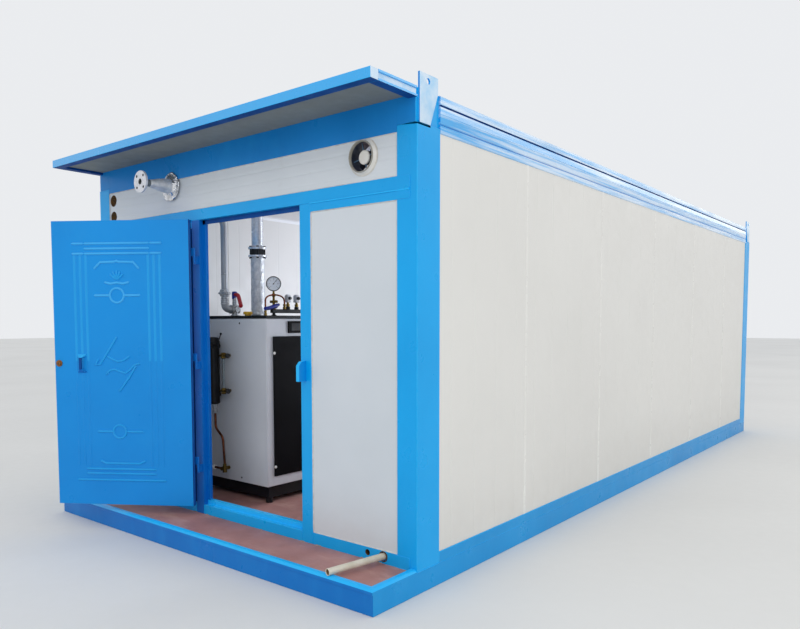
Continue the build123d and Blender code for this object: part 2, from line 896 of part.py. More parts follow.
# Gauge manifold on two legs, with the gauge, its copper pipe and two pressure switches
manifold_y = boiler_front + manifold_start
manifold_low = boiler_lid + manifold_rise
manifold_high = manifold_low + manifold_size
gauge_y = manifold_y + gauge_back
gauge_z = boiler_lid + gauge_height
gauge_axis = upright(manifold_x, gauge_y, boiler_lid)
with BuildPart() as gauge_manifold:
    block(
        (manifold_x - manifold_size / 2, manifold_y, manifold_low),
        (manifold_x + manifold_size / 2, manifold_y + manifold_length, manifold_high),
    )
    for leg_y in (gauge_y, manifold_y + manifold_length - gauge_back):
        rod(upright(manifold_x, leg_y, boiler_lid), 0, manifold_rise, manifold_leg_radius)
    stem_start = manifold_rise + manifold_size
    rod(gauge_axis, stem_start, gauge_height - gauge_radius - stem_start, gauge_stem_radius)
keep(gauge_manifold, "gauge_manifold")

gauge_facing = (cos(radians(gauge_turn)), sin(radians(gauge_turn)), 0)
gauge_plane = Plane(origin=(manifold_x, gauge_y, gauge_z), z_dir=gauge_facing)
with BuildPart() as pressure_gauge:
    rod(gauge_plane, -gauge_depth / 2, gauge_depth, gauge_radius)
keep(pressure_gauge, "pressure_gauge")

with BuildPart() as gauge_pipe:
    pipe_line_x = manifold_x + gauge_stem_radius + gauge_pipe_radius + seat_clearance
    near_y = gauge_y - gauge_pipe_span
    far_y = gauge_y + gauge_pipe_span
    crown = boiler_lid + gauge_pipe_height
    with BuildLine() as gauge_path:
        FilletPolyline(
            (pipe_line_x, near_y, boiler_lid),
            (pipe_line_x, near_y, crown),
            (pipe_line_x, far_y, crown),
            (pipe_line_x, far_y, manifold_high),
            radius=gauge_pipe_bend,
        )
    with BuildSketch(Plane(origin=gauge_path.line @ 0, z_dir=gauge_path.line % 0)):
        Circle(gauge_pipe_radius)
    sweep()
keep(gauge_pipe, "gauge_pipe")

with BuildPart() as pressure_switches:
    for start in switch_starts:
        switch_y = manifold_y + start
        block(
            (manifold_x - switch_width / 2, switch_y, manifold_high),
            (manifold_x + switch_width / 2, switch_y + switch_width, manifold_high + switch_height),
        )
keep(pressure_switches, "pressure_switches")

with BuildPart() as filler_cap:
    rod(upright(cap_x, boiler_front + cap_back, boiler_lid), 0, cap_height, cap_radius)
keep(filler_cap, "filler_cap")

# Water level column, sight glass and drain cock on the boiler's door-side face
column_y = boiler_front - column_gap - column_radius
column_top = boiler_top_z - column_drop
column_bottom = column_top - column_height
column_axis = upright(column_x, column_y, column_bottom)
with BuildPart() as level_column:
    rod(column_axis, 0, column_height, column_radius)
    for stub_z in (column_bottom + column_stub_inset, column_top - column_stub_inset):
        rod(along_y(column_x, column_y, stub_z), 0, boiler_front - column_y, column_stub_radius)
keep(level_column, "level_column")

with BuildPart() as sight_glass:
    glass_low = boiler_top_z - glass_drop - glass_length
    glass_axis = upright(glass_x, column_y, glass_low)
    rod(glass_axis, 0, glass_length, glass_radius)
    for valve_rise in (0, glass_length):
        valve_axis = glass_axis.offset(valve_rise - glass_valve_height / 2)
        rod(valve_axis, 0, glass_valve_height, glass_valve_radius)
        stub_line = along_y(glass_x, column_y, glass_low + valve_rise)
        rod(stub_line, 0, boiler_front - column_y, glass_stub_radius)
keep(sight_glass, "sight_glass")

with BuildPart() as drain_cock:
    cock_axis = along_y(drain_cock_x, boiler_front, boiler_bottom + drain_cock_rise)
    rod(cock_axis, -drain_cock_reach, drain_cock_reach, drain_cock_radius)
keep(drain_cock, "drain_cock")
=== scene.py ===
import bmesh
import bpy
from math import cos, pi, radians, sin
from mathutils import Matrix, Vector, noise


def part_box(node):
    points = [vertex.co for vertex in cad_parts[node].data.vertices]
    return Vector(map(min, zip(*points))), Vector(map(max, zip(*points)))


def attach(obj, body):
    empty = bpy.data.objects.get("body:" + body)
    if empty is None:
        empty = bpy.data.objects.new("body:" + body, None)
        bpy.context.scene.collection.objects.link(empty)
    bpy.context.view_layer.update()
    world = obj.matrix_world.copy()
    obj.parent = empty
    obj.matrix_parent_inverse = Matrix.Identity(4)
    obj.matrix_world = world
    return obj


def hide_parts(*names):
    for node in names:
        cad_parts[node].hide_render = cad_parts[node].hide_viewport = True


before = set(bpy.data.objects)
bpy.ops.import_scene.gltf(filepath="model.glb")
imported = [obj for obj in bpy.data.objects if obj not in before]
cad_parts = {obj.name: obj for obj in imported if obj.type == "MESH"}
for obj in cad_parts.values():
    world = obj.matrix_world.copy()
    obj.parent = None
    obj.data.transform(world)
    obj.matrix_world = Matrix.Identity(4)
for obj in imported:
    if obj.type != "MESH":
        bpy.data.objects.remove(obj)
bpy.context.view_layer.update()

scene = bpy.context.scene
xAxis, yAxis, zAxis = (1, 0, 0), (0, 1, 0), (0, 0, 1)
print("frame loaded,", len(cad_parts), "nodes")


def hexColour(code):
    parts = [int(code[i:i + 2], 16) / 255 for i in (1, 3, 5)]
    linear = [p / 12.92 if p <= 0.04045 else ((p + 0.055) / 1.055) ** 2.4 for p in parts]
    return (*linear, 1.0)


# camera where the photographer stood
view = {
    "place": (3.843, -6.435, 1.483),
    "yaw": 38.569,
    "pitch": -3.682,
    "roll": -0.049,
    "lens": 31.64,
    "sensor": 36.0,
    "rise": 0.0648,
}
cameraData = bpy.data.cameras.new("houseCamera")
cameraData.lens = view["lens"]
cameraData.sensor_width = view["sensor"]
cameraData.sensor_fit = "HORIZONTAL"
cameraData.shift_y = view["rise"]
camera = bpy.data.objects.new("houseCamera", cameraData)
camera.matrix_world = (
    Matrix.Translation(view["place"])
    @ Matrix.Rotation(radians(view["yaw"]), 4, "Z")
    @ Matrix.Rotation(radians(90 + view["pitch"]), 4, "X")
    @ Matrix.Rotation(radians(view["roll"]), 4, "Z")
)
scene.collection.objects.link(camera)
scene.camera = camera
scene.view_settings.view_transform = "Standard"


def addNode(tree, kind, inputs=None, **settings):
    node = tree.nodes.new(kind)
    for key, value in settings.items():
        setattr(node, key, value)
    for socket, value in (inputs or {}).items():
        if isinstance(value, bpy.types.NodeSocket):
            tree.links.new(value, node.inputs[socket])
        else:
            node.inputs[socket].default_value = value
    return node


# studio: an even pale sky, a soft key over the porch, a fill by the near corner, a lamp in the room
# and a long strip that the glossy side rail reflects
studio = {
    "sky": "#F8FAFD",
    "skyStrength": 0.88,
    "lamps": {
        "key": {
            "place": (2.2, -10.0, 6.4), "aim": (-0.2, -3.4, 1.2), "size": (7.0, 4.0),
            "power": 70, "tint": "#FFFFFF"},
        "fill": {
            "place": (7.5, -6.5, 4.2), "aim": (1.6, -1.5, 1.4), "size": (4.0, 3.0),
            "power": 80, "tint": "#FFFCF5"},
        "strip": {
            "place": (6.1, 13.0, 5.2), "aim": (6.1, 13.0, 0.0), "size": (1.2, 26.0),
            "power": 170, "tint": "#FFF6EA"},
        "room": {
            "place": (1.0, 0.0, 1.5), "aim": (-1.5, -1.6, 2.1), "size": (1.6, 1.6),
            "power": 64, "tint": "#EAF3FF"},
    },
}
world = bpy.data.worlds.new("studioSky")
world.use_nodes = True
scene.world = world
world.node_tree.nodes.clear()
sky = addNode(world.node_tree, "ShaderNodeBackground", {
    "Color": hexColour(studio["sky"]), "Strength": studio["skyStrength"]})
addNode(world.node_tree, "ShaderNodeOutputWorld", {"Surface": sky.outputs[0]})
for lampName, lamp in studio["lamps"].items():
    lampData = bpy.data.lights.new(lampName + "Light", "AREA")
    lampData.shape = "RECTANGLE"
    lampData.size, lampData.size_y = lamp["size"]
    lampData.energy = lamp["power"]
    lampData.color = hexColour(lamp["tint"])[:3]
    lampObject = bpy.data.objects.new(lampName + "Light", lampData)
    aim = (Vector(lamp["aim"]) - Vector(lamp["place"])).to_track_quat("-Z", "Y")
    lampObject.matrix_world = Matrix.Translation(lamp["place"]) @ aim.to_matrix().to_4x4()
    scene.collection.objects.link(lampObject)
    lampObject.visible_camera = False  # lights the part, but its own panel stays out of every view
print("camera and studio set")


def newMaterial(name):
    mat = bpy.data.materials.new(name)
    mat.use_nodes = True
    tree = mat.node_tree
    tree.nodes.clear()
    shader = addNode(tree, "ShaderNodeBsdfPrincipled")
    addNode(tree, "ShaderNodeOutputMaterial", {"Surface": shader.outputs[0]})
    place = addNode(tree, "ShaderNodeTexCoord").outputs["Object"]
    return mat, tree, shader, place


# sizes are in millimetres and become a noise scale of 1000 / mm
def addNoise(tree, place, mm, stretch=None, **inputs):
    if stretch:
        place = addNode(tree, "ShaderNodeMapping", {"Vector": place, "Scale": stretch}).outputs[0]
    return addNode(tree, "ShaderNodeTexNoise", {"Vector": place, "Scale": 1000 / mm, **inputs}).outputs[0]


def addRange(tree, value, source, target):
    return addNode(tree, "ShaderNodeMapRange", {
        "Value": value, "From Min": source[0], "From Max": source[1],
        "To Min": target[0], "To Max": target[1]}).outputs[0]


def addMix(tree, share, first, second):
    return addNode(tree, "ShaderNodeMix", {0: share, 6: first, 7: second}, data_type="RGBA").outputs[2]


def addBump(tree, height, strength, distance, **below):
    return addNode(tree, "ShaderNodeBump", {
        "Height": height, "Strength": strength, "Distance": distance, **below}).outputs[0]


texture = {
    "cloudBand": (0.36, 0.66), "polishMm": 90, "polishBand": (0.3, 0.7), "glossier": 0.8, "duller": 1.25,
    "grainDepth": 1 / 5000,  # metres of relief for each millimetre of grain
    "sockets": {
        "metallic": ("Metallic", 0.0), "ior": ("IOR", 1.5), "specular": ("Specular IOR Level", 0.5),
        "coat": ("Coat Weight", 0.0), "coatRough": ("Coat Roughness", 0.1)},
}


# Any painted, moulded or rolled finish. cloud is the slow drift of the colour, mark the scuffs and stains
# (on the side rail, streaks of painted reflection), dust what settles low down (on the door, a deeper
# blue low on the leaf that paints shade), grain the fine relief and wave the slow unevenness of the sheet
# under it.
def makeFinish(name, **v):
    mat, tree, shader, place = newMaterial(name)
    cloud = addNoise(tree, place, v["cloudMm"], Detail=4.0)
    share = addRange(tree, cloud, texture["cloudBand"], (0.0, v.get("cloudShare", 1.0)))
    colour = addMix(tree, share, hexColour(v["colour"]), hexColour(v["cloud"]))
    if "mark" in v:
        m = v["mark"]
        spots = addNoise(tree, place, m["mm"], m.get("stretch"), Detail=6.0, Roughness=0.62)
        share = addRange(tree, spots, (m["low"], m["high"]), (0.0, m["share"]))
        colour = addMix(tree, share, colour, hexColour(m["colour"]))
    if "dust" in v:
        d = v["dust"]
        rise = addNode(tree, "ShaderNodeSeparateXYZ", {0: place}).outputs[2]
        low = addRange(tree, rise, (d["floor"], d["top"]), (d["share"], 0.0))
        patchy = addNoise(tree, place, d["mm"], Detail=5.0)
        share = addNode(tree, "ShaderNodeMath", {0: low, 1: patchy}, operation="MULTIPLY").outputs[0]
        colour = addMix(tree, share, colour, hexColour(d["colour"]))
    polish = addNoise(tree, place, v.get("polishMm", texture["polishMm"]), Detail=5.0)
    spread = (v["rough"] * texture["glossier"], v["rough"] * texture["duller"])
    rough = addRange(tree, polish, texture["polishBand"], spread)
    grain = addNoise(tree, place, v["grainMm"], v.get("grainStretch"), Detail=3.0)
    normal = addBump(tree, grain, v["grain"], v["grainMm"] * texture["grainDepth"])
    if "wave" in v:
        w = v["wave"]
        swell = addNoise(tree, place, w["mm"], w.get("stretch"), Detail=2.0)
        normal = addBump(tree, swell, w["strength"], w["depthMm"] / 1000, Normal=normal)
    for socket, source in (("Base Color", colour), ("Roughness", rough), ("Normal", normal)):
        tree.links.new(source, shader.inputs[socket])
    for key, (socket, usual) in texture["sockets"].items():
        shader.inputs[socket].default_value = v.get(key, usual)
    return mat


# alkyd enamel on rolled steel: strong azure, half gloss, faint orange peel over the sheet's long swell
enamel = {
    "colour": "#00AAF2", "cloud": "#00A0E8", "cloudMm": 700, "cloudShare": 0.8,
    "rough": 0.32, "polishMm": 160, "grainMm": 3, "grain": 0.05, "specular": 0.3,
    "wave": {"mm": 260, "depthMm": 1.2, "strength": 0.25},
    "mark": {"colour": "#33B4F2", "mm": 190, "low": 0.5, "high": 0.8, "share": 0.2, "stretch": (1, 1, 0.35)},
    "dust": {"colour": "#4C90B8", "mm": 120, "floor": 0.0, "top": 0.30, "share": 0.12},
}


def enamelCoat(name, **changes):
    return makeFinish(name, **{**enamel, **changes})


enamelBlue = enamelCoat("alkydEnamelBlue")
# the same enamel on every bevelled edge, paler: a little rubbed, and a painted highlight along the edges
enamelEdge = enamelCoat(
    "alkydEnamelRubbedEdgeHighlight", colour="#0CADF3", cloud="#4CBCF2", cloudMm=45, cloudShare=0.35, rough=0.42)
# canopy fascia: the glossiest coat, its swell drawn out along the length
enamelFascia = enamelCoat(
    "alkydEnamelFascia", coat=0.9, coatRough=0.06, rough=0.24, specular=0.5,
    wave={"mm": 60, "stretch": (0.07, 1.0, 1.6), "depthMm": 0.9, "strength": 0.5})
# rolled side rail: pale streaks that follow the rolling, a painted reflection of the bright light on its
# gloss
enamelRail = enamelCoat(
    "alkydEnamelRolledRail", coat=0.9, coatRough=0.06, rough=0.24, specular=0.5,
    mark={
        "colour": "#E2EEFA", "mm": 60, "low": 0.42, "high": 0.60, "share": 0.72,
        "stretch": (1.0, 0.05, 1.9)},
    wave={"mm": 60, "stretch": (1.0, 0.07, 1.6), "depthMm": 0.9, "strength": 0.5})
# lifting lugs and canopy ends: almost white with the blue showing in clouds, a painted reflection of the
# bright light on the gloss
enamelChalk = enamelCoat(
    "alkydEnamelPaintedReflection", colour="#CFE3F5", cloud="#8CC8F0", cloudMm=110, cloudShare=0.8,
    rough=0.4, coat=0.4)
# upper faces of the beams, the sill, the trim folds and the keeper: the brightest blue, painted light from
# above
enamelTop = enamelCoat("alkydEnamelLitTop", colour="#22BEFF", cloud="#10B2FA")
# base beams and wall tracks near the ground: a deeper blue, and deepest along the front, painted shade where
# less light reaches low down
enamelBase = enamelCoat("alkydEnamelBaseShaded", colour="#0099DF", cloud="#0090D6")
enamelFront = enamelCoat("alkydEnamelFrontBeamShaded", colour="#0076CA", cloud="#006EC2", specular=0.2)
# end rails and head fronts under the canopy: a deeper blue, painted shade under the canopy
enamelShaded = enamelCoat("alkydEnamelCanopyShade", colour="#1C8CDC", cloud="#147FCC", specular=0.15)
# hinge jamb, hinges, stops, rail groove and the lower pull foot: brushed by hand, and a deep saturated blue
# that paints the shade of the open leaf
revealBlue = enamelCoat(
    "alkydEnamelBrushedShade", colour="#0470CA", cloud="#0264BC", specular=0.2,
    grainMm=4, grain=0.12, grainStretch=(1, 1, 0.08))
# door enamel, a shade deeper, over a pressed sheet; a deeper blue towards the bottom of the leaf is painted
# shade
doorEnamel = enamelCoat(
    "alkydEnamelDoor", colour="#0094E6", cloud="#008ADC", rough=0.34,
    mark={"colour": "#1D9CE4", "mm": 180, "low": 0.5, "high": 0.8, "share": 0.25},
    dust={"colour": "#007CD0", "mm": 400, "floor": 0.1, "top": 2.0, "share": 0.6})
# crowns of the pressed lines: paler, most of all high on the leaf, a painted highlight where the light from
# above catches them
doorRidge = enamelCoat("alkydEnamelDoorRidgeHighlight", colour="#3FB2F4", cloud="#2CA8F0", rough=0.34)
doorRidgeLow = enamelCoat("alkydEnamelDoorLowRidgeHighlight", colour="#16A0EA", cloud="#0C98E2", rough=0.34)
# dull navy on undersides, leaf edges, grooves, the pull bar and the head stop: painted shade; nearly black
# inside a gap: painted shadow
navyCoat = makeFinish(
    "alkydNavyPaintedShade", colour="#0C4C96", cloud="#0A4284", cloudMm=220, rough=0.6,
    grainMm=3, grain=0.08, specular=0.15)
shadowNavy = makeFinish(
    "paintedShadowInGap", colour="#04102A", cloud="#061838", cloudMm=60, rough=0.7,
    grainMm=3, grain=0.1, specular=0.1)
# polyester-coated steel skin of a sandwich panel: satin off-white, almost flat; the side walls' copy is
# lighter and warmer, painted light for the warmer light on the sides
panelCoat = makeFinish(
    "polyesterCoatedPanel", colour="#D7DDE3", cloud="#CFD6DC", cloudMm=900, rough=0.42,
    grainMm=2, grain=0.03,
    wave={"mm": 420, "depthMm": 0.8, "strength": 0.12},
    mark={"colour": "#BFC0C2", "mm": 120, "low": 0.64, "high": 0.78, "share": 0.25},
    dust={"colour": "#B7AFA4", "mm": 90, "floor": 0.12, "top": 0.5, "share": 0.35})
sideCoat = makeFinish(
    "polyesterCoatedSidePanelLit", colour="#E4E3DF", cloud="#DFDEDA", cloudMm=1200, rough=0.4,
    grainMm=2, grain=0.03,
    wave={"mm": 520, "stretch": (1, 1, 0.4), "depthMm": 0.8, "strength": 0.12},
    dust={"colour": "#B7AFA4", "mm": 110, "floor": 0.15, "top": 0.6, "share": 0.3})
# extruded white strip over the panel seams, a little shinier than the skin
seamStrip = makeFinish(
    "anodisedWhiteStrip", colour="#EAE9E5", cloud="#E2E1DD", cloudMm=400, rough=0.28,
    grainMm=1.5, grain=0.03)
# neutral-cure silicone: soft, matt, finger-smoothed; brown with dirt on the floor
sealant = makeFinish(
    "siliconeSealant", colour="#D9D7D2", cloud="#C4C0B8", cloudMm=30, rough=0.55, grainMm=6, grain=0.25)
oldSealant = makeFinish(
    "siliconeSealantDirty", colour="#A79F90", cloud="#857C6C", cloudMm=18, rough=0.6, grainMm=5, grain=0.3)
# cut polyurethane core: brown, open-celled, dusty
foamCore = makeFinish(
    "cutFoamCore", colour="#6B4A1C", cloud="#3A2810", cloudMm=9, rough=0.9, grainMm=4, grain=0.8)
# red-oxide floor paint on plain plate: matt, trodden, with pale scuffs
floorOxide = makeFinish(
    "redOxideFloorPaint", colour="#BA877F", cloud="#A0716B", cloudMm=320, rough=0.55, polishMm=140,
    grainMm=5, grain=0.25,
    mark={"colour": "#D0A99A", "mm": 170, "low": 0.5, "high": 0.72, "share": 0.6, "stretch": (0.6, 1.4, 1)})
# pre-painted soffit sheet, weathered to a flat grey
soffitPaint = makeFinish(
    "agedSoffitSheet", colour="#868A86", cloud="#7E827F", cloudMm=500, rough=0.6, grainMm=3, grain=0.06,
    specular=0.2, mark={"colour": "#8C9090", "mm": 160, "low": 0.55, "high": 0.8, "share": 0.3})
# hot-dip galvanised roof sheet: dull spangle, slightly stained
roofZinc = makeFinish(
    "galvanisedRoofSheet", colour="#C3C7CA", cloud="#A9AEB2", cloudMm=24, rough=0.42, metallic=0.55,
    grainMm=8, grain=0.08, mark={"colour": "#8F8F88", "mm": 300, "low": 0.55, "high": 0.8, "share": 0.5})
# mill-scale steel under the floor: dark, blue-grey, rough
bareSteel = makeFinish(
    "millScaleSteel", colour="#5D6064", cloud="#4A4440", cloudMm=60, rough=0.55, metallic=0.6,
    grainMm=2, grain=0.2)
# powder coat, fine texture: light grey and dusty at the foot, or black
cabinetCoat = makeFinish(
    "powderCoatLightGrey", colour="#D4D6D9", cloud="#CBCDD1", cloudMm=500, rough=0.45,
    grainMm=1.6, grain=0.12,
    dust={"colour": "#A39A90", "mm": 60, "floor": 0.2, "top": 0.5, "share": 0.4})
blackCoat = makeFinish(
    "powderCoatBlack", colour="#0F0F11", cloud="#171719", cloudMm=120, rough=0.45, grainMm=1.6, grain=0.15,
    specular=0.25)
# screen-printed polycarbonate front, near black and smooth
panelFilm = makeFinish(
    "polycarbonateFrontBlack", colour="#060608", cloud="#0B0B0E", cloudMm=300, rough=0.5,
    grainMm=1.2, grain=0.03, ior=1.58, specular=0.05)
# moulded plastic: warm white; blue-black for the rotor, and lining the bore deep in the sleeve as painted
# shade; grey at the lip and the mouth of the bore, painted shade where the sleeve turns in
fanPlastic = makeFinish(
    "absMouldedWhite", colour="#E9E7E2", cloud="#DEDBD4", cloudMm=60, rough=0.38,
    grainMm=0.8, grain=0.08, ior=1.54)
fanDark = makeFinish(
    "absMouldedBlueBlack", colour="#0C1424", cloud="#142036", cloudMm=40, rough=0.45,
    grainMm=0.8, grain=0.1, ior=1.54)
fanRim = makeFinish(
    "absMouldedGreyShade", colour="#A8A59C", cloud="#8F8B80", cloudMm=50, rough=0.42,
    grainMm=0.8, grain=0.08, ior=1.54)
# painted wire strut, slate blue
strutGrey = makeFinish(
    "paintedStrutBlueGrey", colour="#51708C", cloud="#435F78", cloudMm=20, rough=0.4, grainMm=1, grain=0.05)
# bright zinc plate on a turned flange: pale, soft shine
zincFlange = makeFinish(
    "zincPlatedFlange", colour="#E4E5EA", cloud="#CFD2D9", cloudMm=18, rough=0.4, metallic=0.35,
    grainMm=1, grain=0.08)
# hot-rolled pipe with a thin grey primer
primedPipe = makeFinish(
    "greyPrimedPipe", colour="#7C8384", cloud="#666D6C", cloudMm=26, rough=0.45, metallic=0.4,
    grainMm=1.5, grain=0.12)
# zinc on a drawn pipe: pale, with soft patches
galvPipe = makeFinish(
    "galvanisedPipe", colour="#EEF0F3", cloud="#D6DADF", cloudMm=22, rough=0.24, metallic=0.6,
    grainMm=9, grain=0.12)
# bare stainless, drawn: bright, with fine lines along it
stainless = makeFinish(
    "drawnStainless", colour="#C4C5C8", cloud="#A7A9AD", cloudMm=35, rough=0.26, metallic=1.0,
    grainMm=1.2, grain=0.1, grainStretch=(1, 1, 0.05))
# welded steam pipe, pickled: dull mid grey with a soft shine
dullPipe = makeFinish(
    "pickledSteelPipe", colour="#A2A5A9", cloud="#A0A4A9", cloudMm=40, rough=0.42, metallic=0.45,
    grainMm=1.2, grain=0.1, grainStretch=(1, 1, 0.05))
# foil tape smoothed by hand over wool: soft sheen, light grey
foilTape = makeFinish(
    "aluminiumTapeSmoothed", colour="#E8E9EB", cloud="#CDD0D4", cloudMm=30, rough=0.45, metallic=0.45,
    grainMm=6, grain=0.35)
# aluminium foil over wool: mirror-bright facets, dull in the creases
foil = makeFinish(
    "aluminiumFoilCrumpled", colour="#E6E7EA", cloud="#B9BBC0", cloudMm=16, rough=0.2, metallic=1.0,
    grainMm=7, grain=0.5)
# cast stainless: grey, pitted by the mould
castSteel = makeFinish(
    "castStainlessValve", colour="#C0C2C4", cloud="#94979B", cloudMm=14, rough=0.38, metallic=0.6,
    grainMm=1.6, grain=0.3)
# handled brass, gone dull and brown
agedBrass = makeFinish(
    "handledBrassDull", colour="#7E6834", cloud="#564420", cloudMm=10, rough=0.42, metallic=1.0,
    grainMm=0.8, grain=0.15)
# bronze of the lock: warm, worn bright
bronzeLock = makeFinish(
    "agedBronzeCylinder", colour="#B07A4C", cloud="#7F5433", cloudMm=9, rough=0.34, metallic=1.0,
    grainMm=0.8, grain=0.12)
# drawn copper, browned by heat
copper = makeFinish(
    "drawnCopperTube", colour="#7E4831", cloud="#58301F", cloudMm=20, rough=0.32, metallic=1.0,
    grainMm=1, grain=0.1)
# drain pipe: cream plastic with brown splashes
pvc = makeFinish(
    "pvcPipeCream", colour="#DDD6C4", cloud="#CFC7B2", cloudMm=70, rough=0.35,
    grainMm=1.2, grain=0.06, ior=1.53,
    mark={"colour": "#8F836A", "mm": 25, "low": 0.62, "high": 0.75, "share": 0.5})
# dipped vinyl sleeves, soft gloss
redVinyl = makeFinish(
    "dippedVinylRed", colour="#B3202B", cloud="#8E1822", cloudMm=14, rough=0.38, grainMm=1, grain=0.08)
blueVinyl = makeFinish(
    "dippedVinylBlue", colour="#1C2F9A", cloud="#162473", cloudMm=14, rough=0.38, grainMm=1, grain=0.08)
# moulded polyethene, waxy yellow
yellowCap = makeFinish(
    "polyetheneCapYellow", colour="#E2B21E", cloud="#C08E12", cloudMm=20, rough=0.42, grainMm=1, grain=0.1)
# glass-filled polyamide, light grey and matt
switchShell = makeFinish(
    "polyamideShellGrey", colour="#CFCFD2", cloud="#BDBDC2", cloudMm=25, rough=0.45,
    grainMm=0.8, grain=0.1, ior=1.53)
# pressed case with stove enamel, black and half gloss
gaugeCase = makeFinish(
    "pressedSteelCaseBlack", colour="#202124", cloud="#2B2C30", cloudMm=20, rough=0.35,
    grainMm=1, grain=0.08)
# dial card under its pane: the pane is the clear coat
dialCard = makeFinish(
    "enamelledDialWhite", colour="#E9EDF3", cloud="#DDE4EE", cloudMm=30, rough=0.4, grainMm=0.8, grain=0.03,
    coat=1.0, coatRough=0.03)
# black rubber, matt
rubber = makeFinish(
    "blackRubber", colour="#17181A", cloud="#222326", cloudMm=30, rough=0.6,
    grainMm=1.2, grain=0.2, ior=1.52)
# rust bloom on a wet flange: orange brown, powdery
rustBloom = makeFinish(
    "rustBloom", colour="#A86A3A", cloud="#7A4522", cloudMm=9, rough=0.85, grainMm=2, grain=0.4)
# roof lining seen from inside: bright white, satin
liningWhite = makeFinish(
    "whiteLinedCeiling", colour="#F6F7F8", cloud="#EFF1F3", cloudMm=700, rough=0.5, grainMm=2, grain=0.03)

# sight-glass tube: clear drawn glass with a slight ripple
clearGlass = {"Base Color": hexColour("#F4FAFA"), "Roughness": 0.03, "IOR": 1.5, "Transmission Weight": 1.0}
glassRipple = {"mm": 15, "strength": 0.02, "depth": 0.001}
glass, glassTree, glassShader, glassPlace = newMaterial("drawnClearGlass")
for socket, value in clearGlass.items():
    glassShader.inputs[socket].default_value = value
ripple = addNoise(glassTree, glassPlace, glassRipple["mm"])
rippled = addBump(glassTree, ripple, glassRipple["strength"], glassRipple["depth"])
glassTree.links.new(rippled, glassShader.inputs["Normal"])
print("finishes ready,", len(bpy.data.materials))


def merge(bm, part):
    mesh = bpy.data.meshes.new("mergedPart")
    part.to_mesh(mesh)
    part.free()
    bm.from_mesh(mesh)
    bpy.data.meshes.remove(mesh)


# faces that a bevel makes take the second finish of the piece
def softenEdges(bm, edge, angle=40):
    hard = [e for e in bm.edges if len(e.link_faces) == 2 and e.calc_face_angle(0) > radians(angle)]
    bmesh.ops.bevel(
        bm, geom=hard, offset=edge, segments=2, profile=0.5, affect="EDGES", clamp_overlap=True, material=1)


def addBlock(bm, low, high, edge=0.003, turn=None):
    part = bmesh.new()
    bmesh.ops.create_cube(part, size=1.0)
    for vert in part.verts:
        vert.co = [a + (c + 0.5) * (b - a) for a, b, c in zip(low, high, vert.co)]
    if edge:
        softenEdges(part, edge)
    if turn:
        part.transform(turn)
    merge(bm, part)


# profile is a list of (radius, distance along the axis)
def addLathe(bm, profile, base, axis, steps=48, finish=0, wobble=None):
    along = Vector(axis).normalized()
    across = along.orthogonal().normalized()
    over = along.cross(across)
    rings = []
    for radius, rise in profile:
        centre = Vector(base) + along * rise
        if radius < 1e-6:
            rings.append([bm.verts.new(centre)])
            continue
        ring = []
        for i in range(steps):
            angle = 2 * pi * i / steps
            out = across * cos(angle) + over * sin(angle)
            point = centre + out * radius
            if wobble:
                point += out * wobble(point) + along * wobble(point + Vector((7, 3, 1))) * 0.6
            ring.append(bm.verts.new(point))
        rings.append(ring)
    for lower, upper in zip(rings, rings[1:]):
        for i in range(steps):
            pairs = [(lower, i), (lower, (i + 1) % steps), (upper, (i + 1) % steps), (upper, i)]
            single = list(dict.fromkeys(ring[k % len(ring)] for ring, k in pairs))
            if len(single) > 2:
                bm.faces.new(single).material_index = finish


# joins rings of equal length into a skin
def skinRings(bm, rings, finish, closed=False, capped=True):
    pairs = list(zip(rings, rings[1:])) + ([(rings[-1], rings[0])] if closed else [])
    for lower, upper in pairs:
        for k in range(len(lower)):
            m = (k + 1) % len(lower)
            bm.faces.new([lower[k], lower[m], upper[m], upper[k]]).material_index = finish
    if capped and not closed:
        for ring in (rings[0], rings[-1]):
            bm.faces.new(ring).material_index = finish


# a tube along points; flat squeezes it along the direction up, so a bead lies on a sheet
def addTube(bm, points, radius, sides=16, flat=1.0, up=None, closed=False, finish=0):
    path = [Vector(p) for p in points]
    count = len(path)
    rings = []
    side = None
    for i, point in enumerate(path):
        before = path[i - 1] if i or closed else path[0]
        after = path[(i + 1) % count] if i < count - 1 or closed else path[-1]
        along = (after - before).normalized()
        if up is not None:
            normal = Vector(up).normalized()
            side = along.cross(normal).normalized()
        else:
            side = along.orthogonal() if side is None else side - along * side.dot(along)
            side.normalize()
            normal = side.cross(along).normalized()
        wide = radius[i] if isinstance(radius, (list, tuple)) else radius
        angles = [2 * pi * k / sides for k in range(sides)]
        rings.append([bm.verts.new(point + (side * cos(a) + normal * sin(a) * flat) * wide) for a in angles])
    skinRings(bm, rings, finish, closed)


def bentPath(points, bend, steps=8):
    path = [Vector(points[0])]
    for before, corner, after in zip(points, points[1:], points[2:]):
        a, b, c = Vector(before), Vector(corner), Vector(after)
        start = b + (a - b).normalized() * bend
        end = b + (c - b).normalized() * bend
        for i in range(steps + 1):
            t = i / steps
            path.append(start * (1 - t) ** 2 + b * 2 * t * (1 - t) + end * t ** 2)
    return path + [Vector(points[-1])]


# a ring of points in an upright plane that faces the porch
def uprightRing(x, y, z, radius, count):
    angles = [2 * pi * k / count for k in range(count)]
    return [(x + radius * cos(a), y, z + radius * sin(a)) for a in angles]


# radii that swell and shrink along a bead
def unevenRadii(radius, change, count, pace, seed):
    return [radius + change * noise.noise(Vector((k * pace, *seed))) for k in range(count)]


# a flat outline in a plane, drawn out along a direction
def addExtrusion(bm, outline, shift, finish=0, cuts=1, sway=None):
    rings = []
    for i in range(cuts + 1):
        ring = [Vector(p) + Vector(shift) * (i / cuts) for p in outline]
        if sway and 0 < i < cuts:
            ring = [p + sway(p) for p in ring]
        rings.append([bm.verts.new(p) for p in ring])
    skinRings(bm, rings, finish)


def addHull(bm, points, finish=0):
    part = bmesh.new()
    for point in points:
        part.verts.new(point)
    bmesh.ops.convex_hull(part, input=part.verts[:])
    for face in part.faces:
        face.material_index = finish
    merge(bm, part)


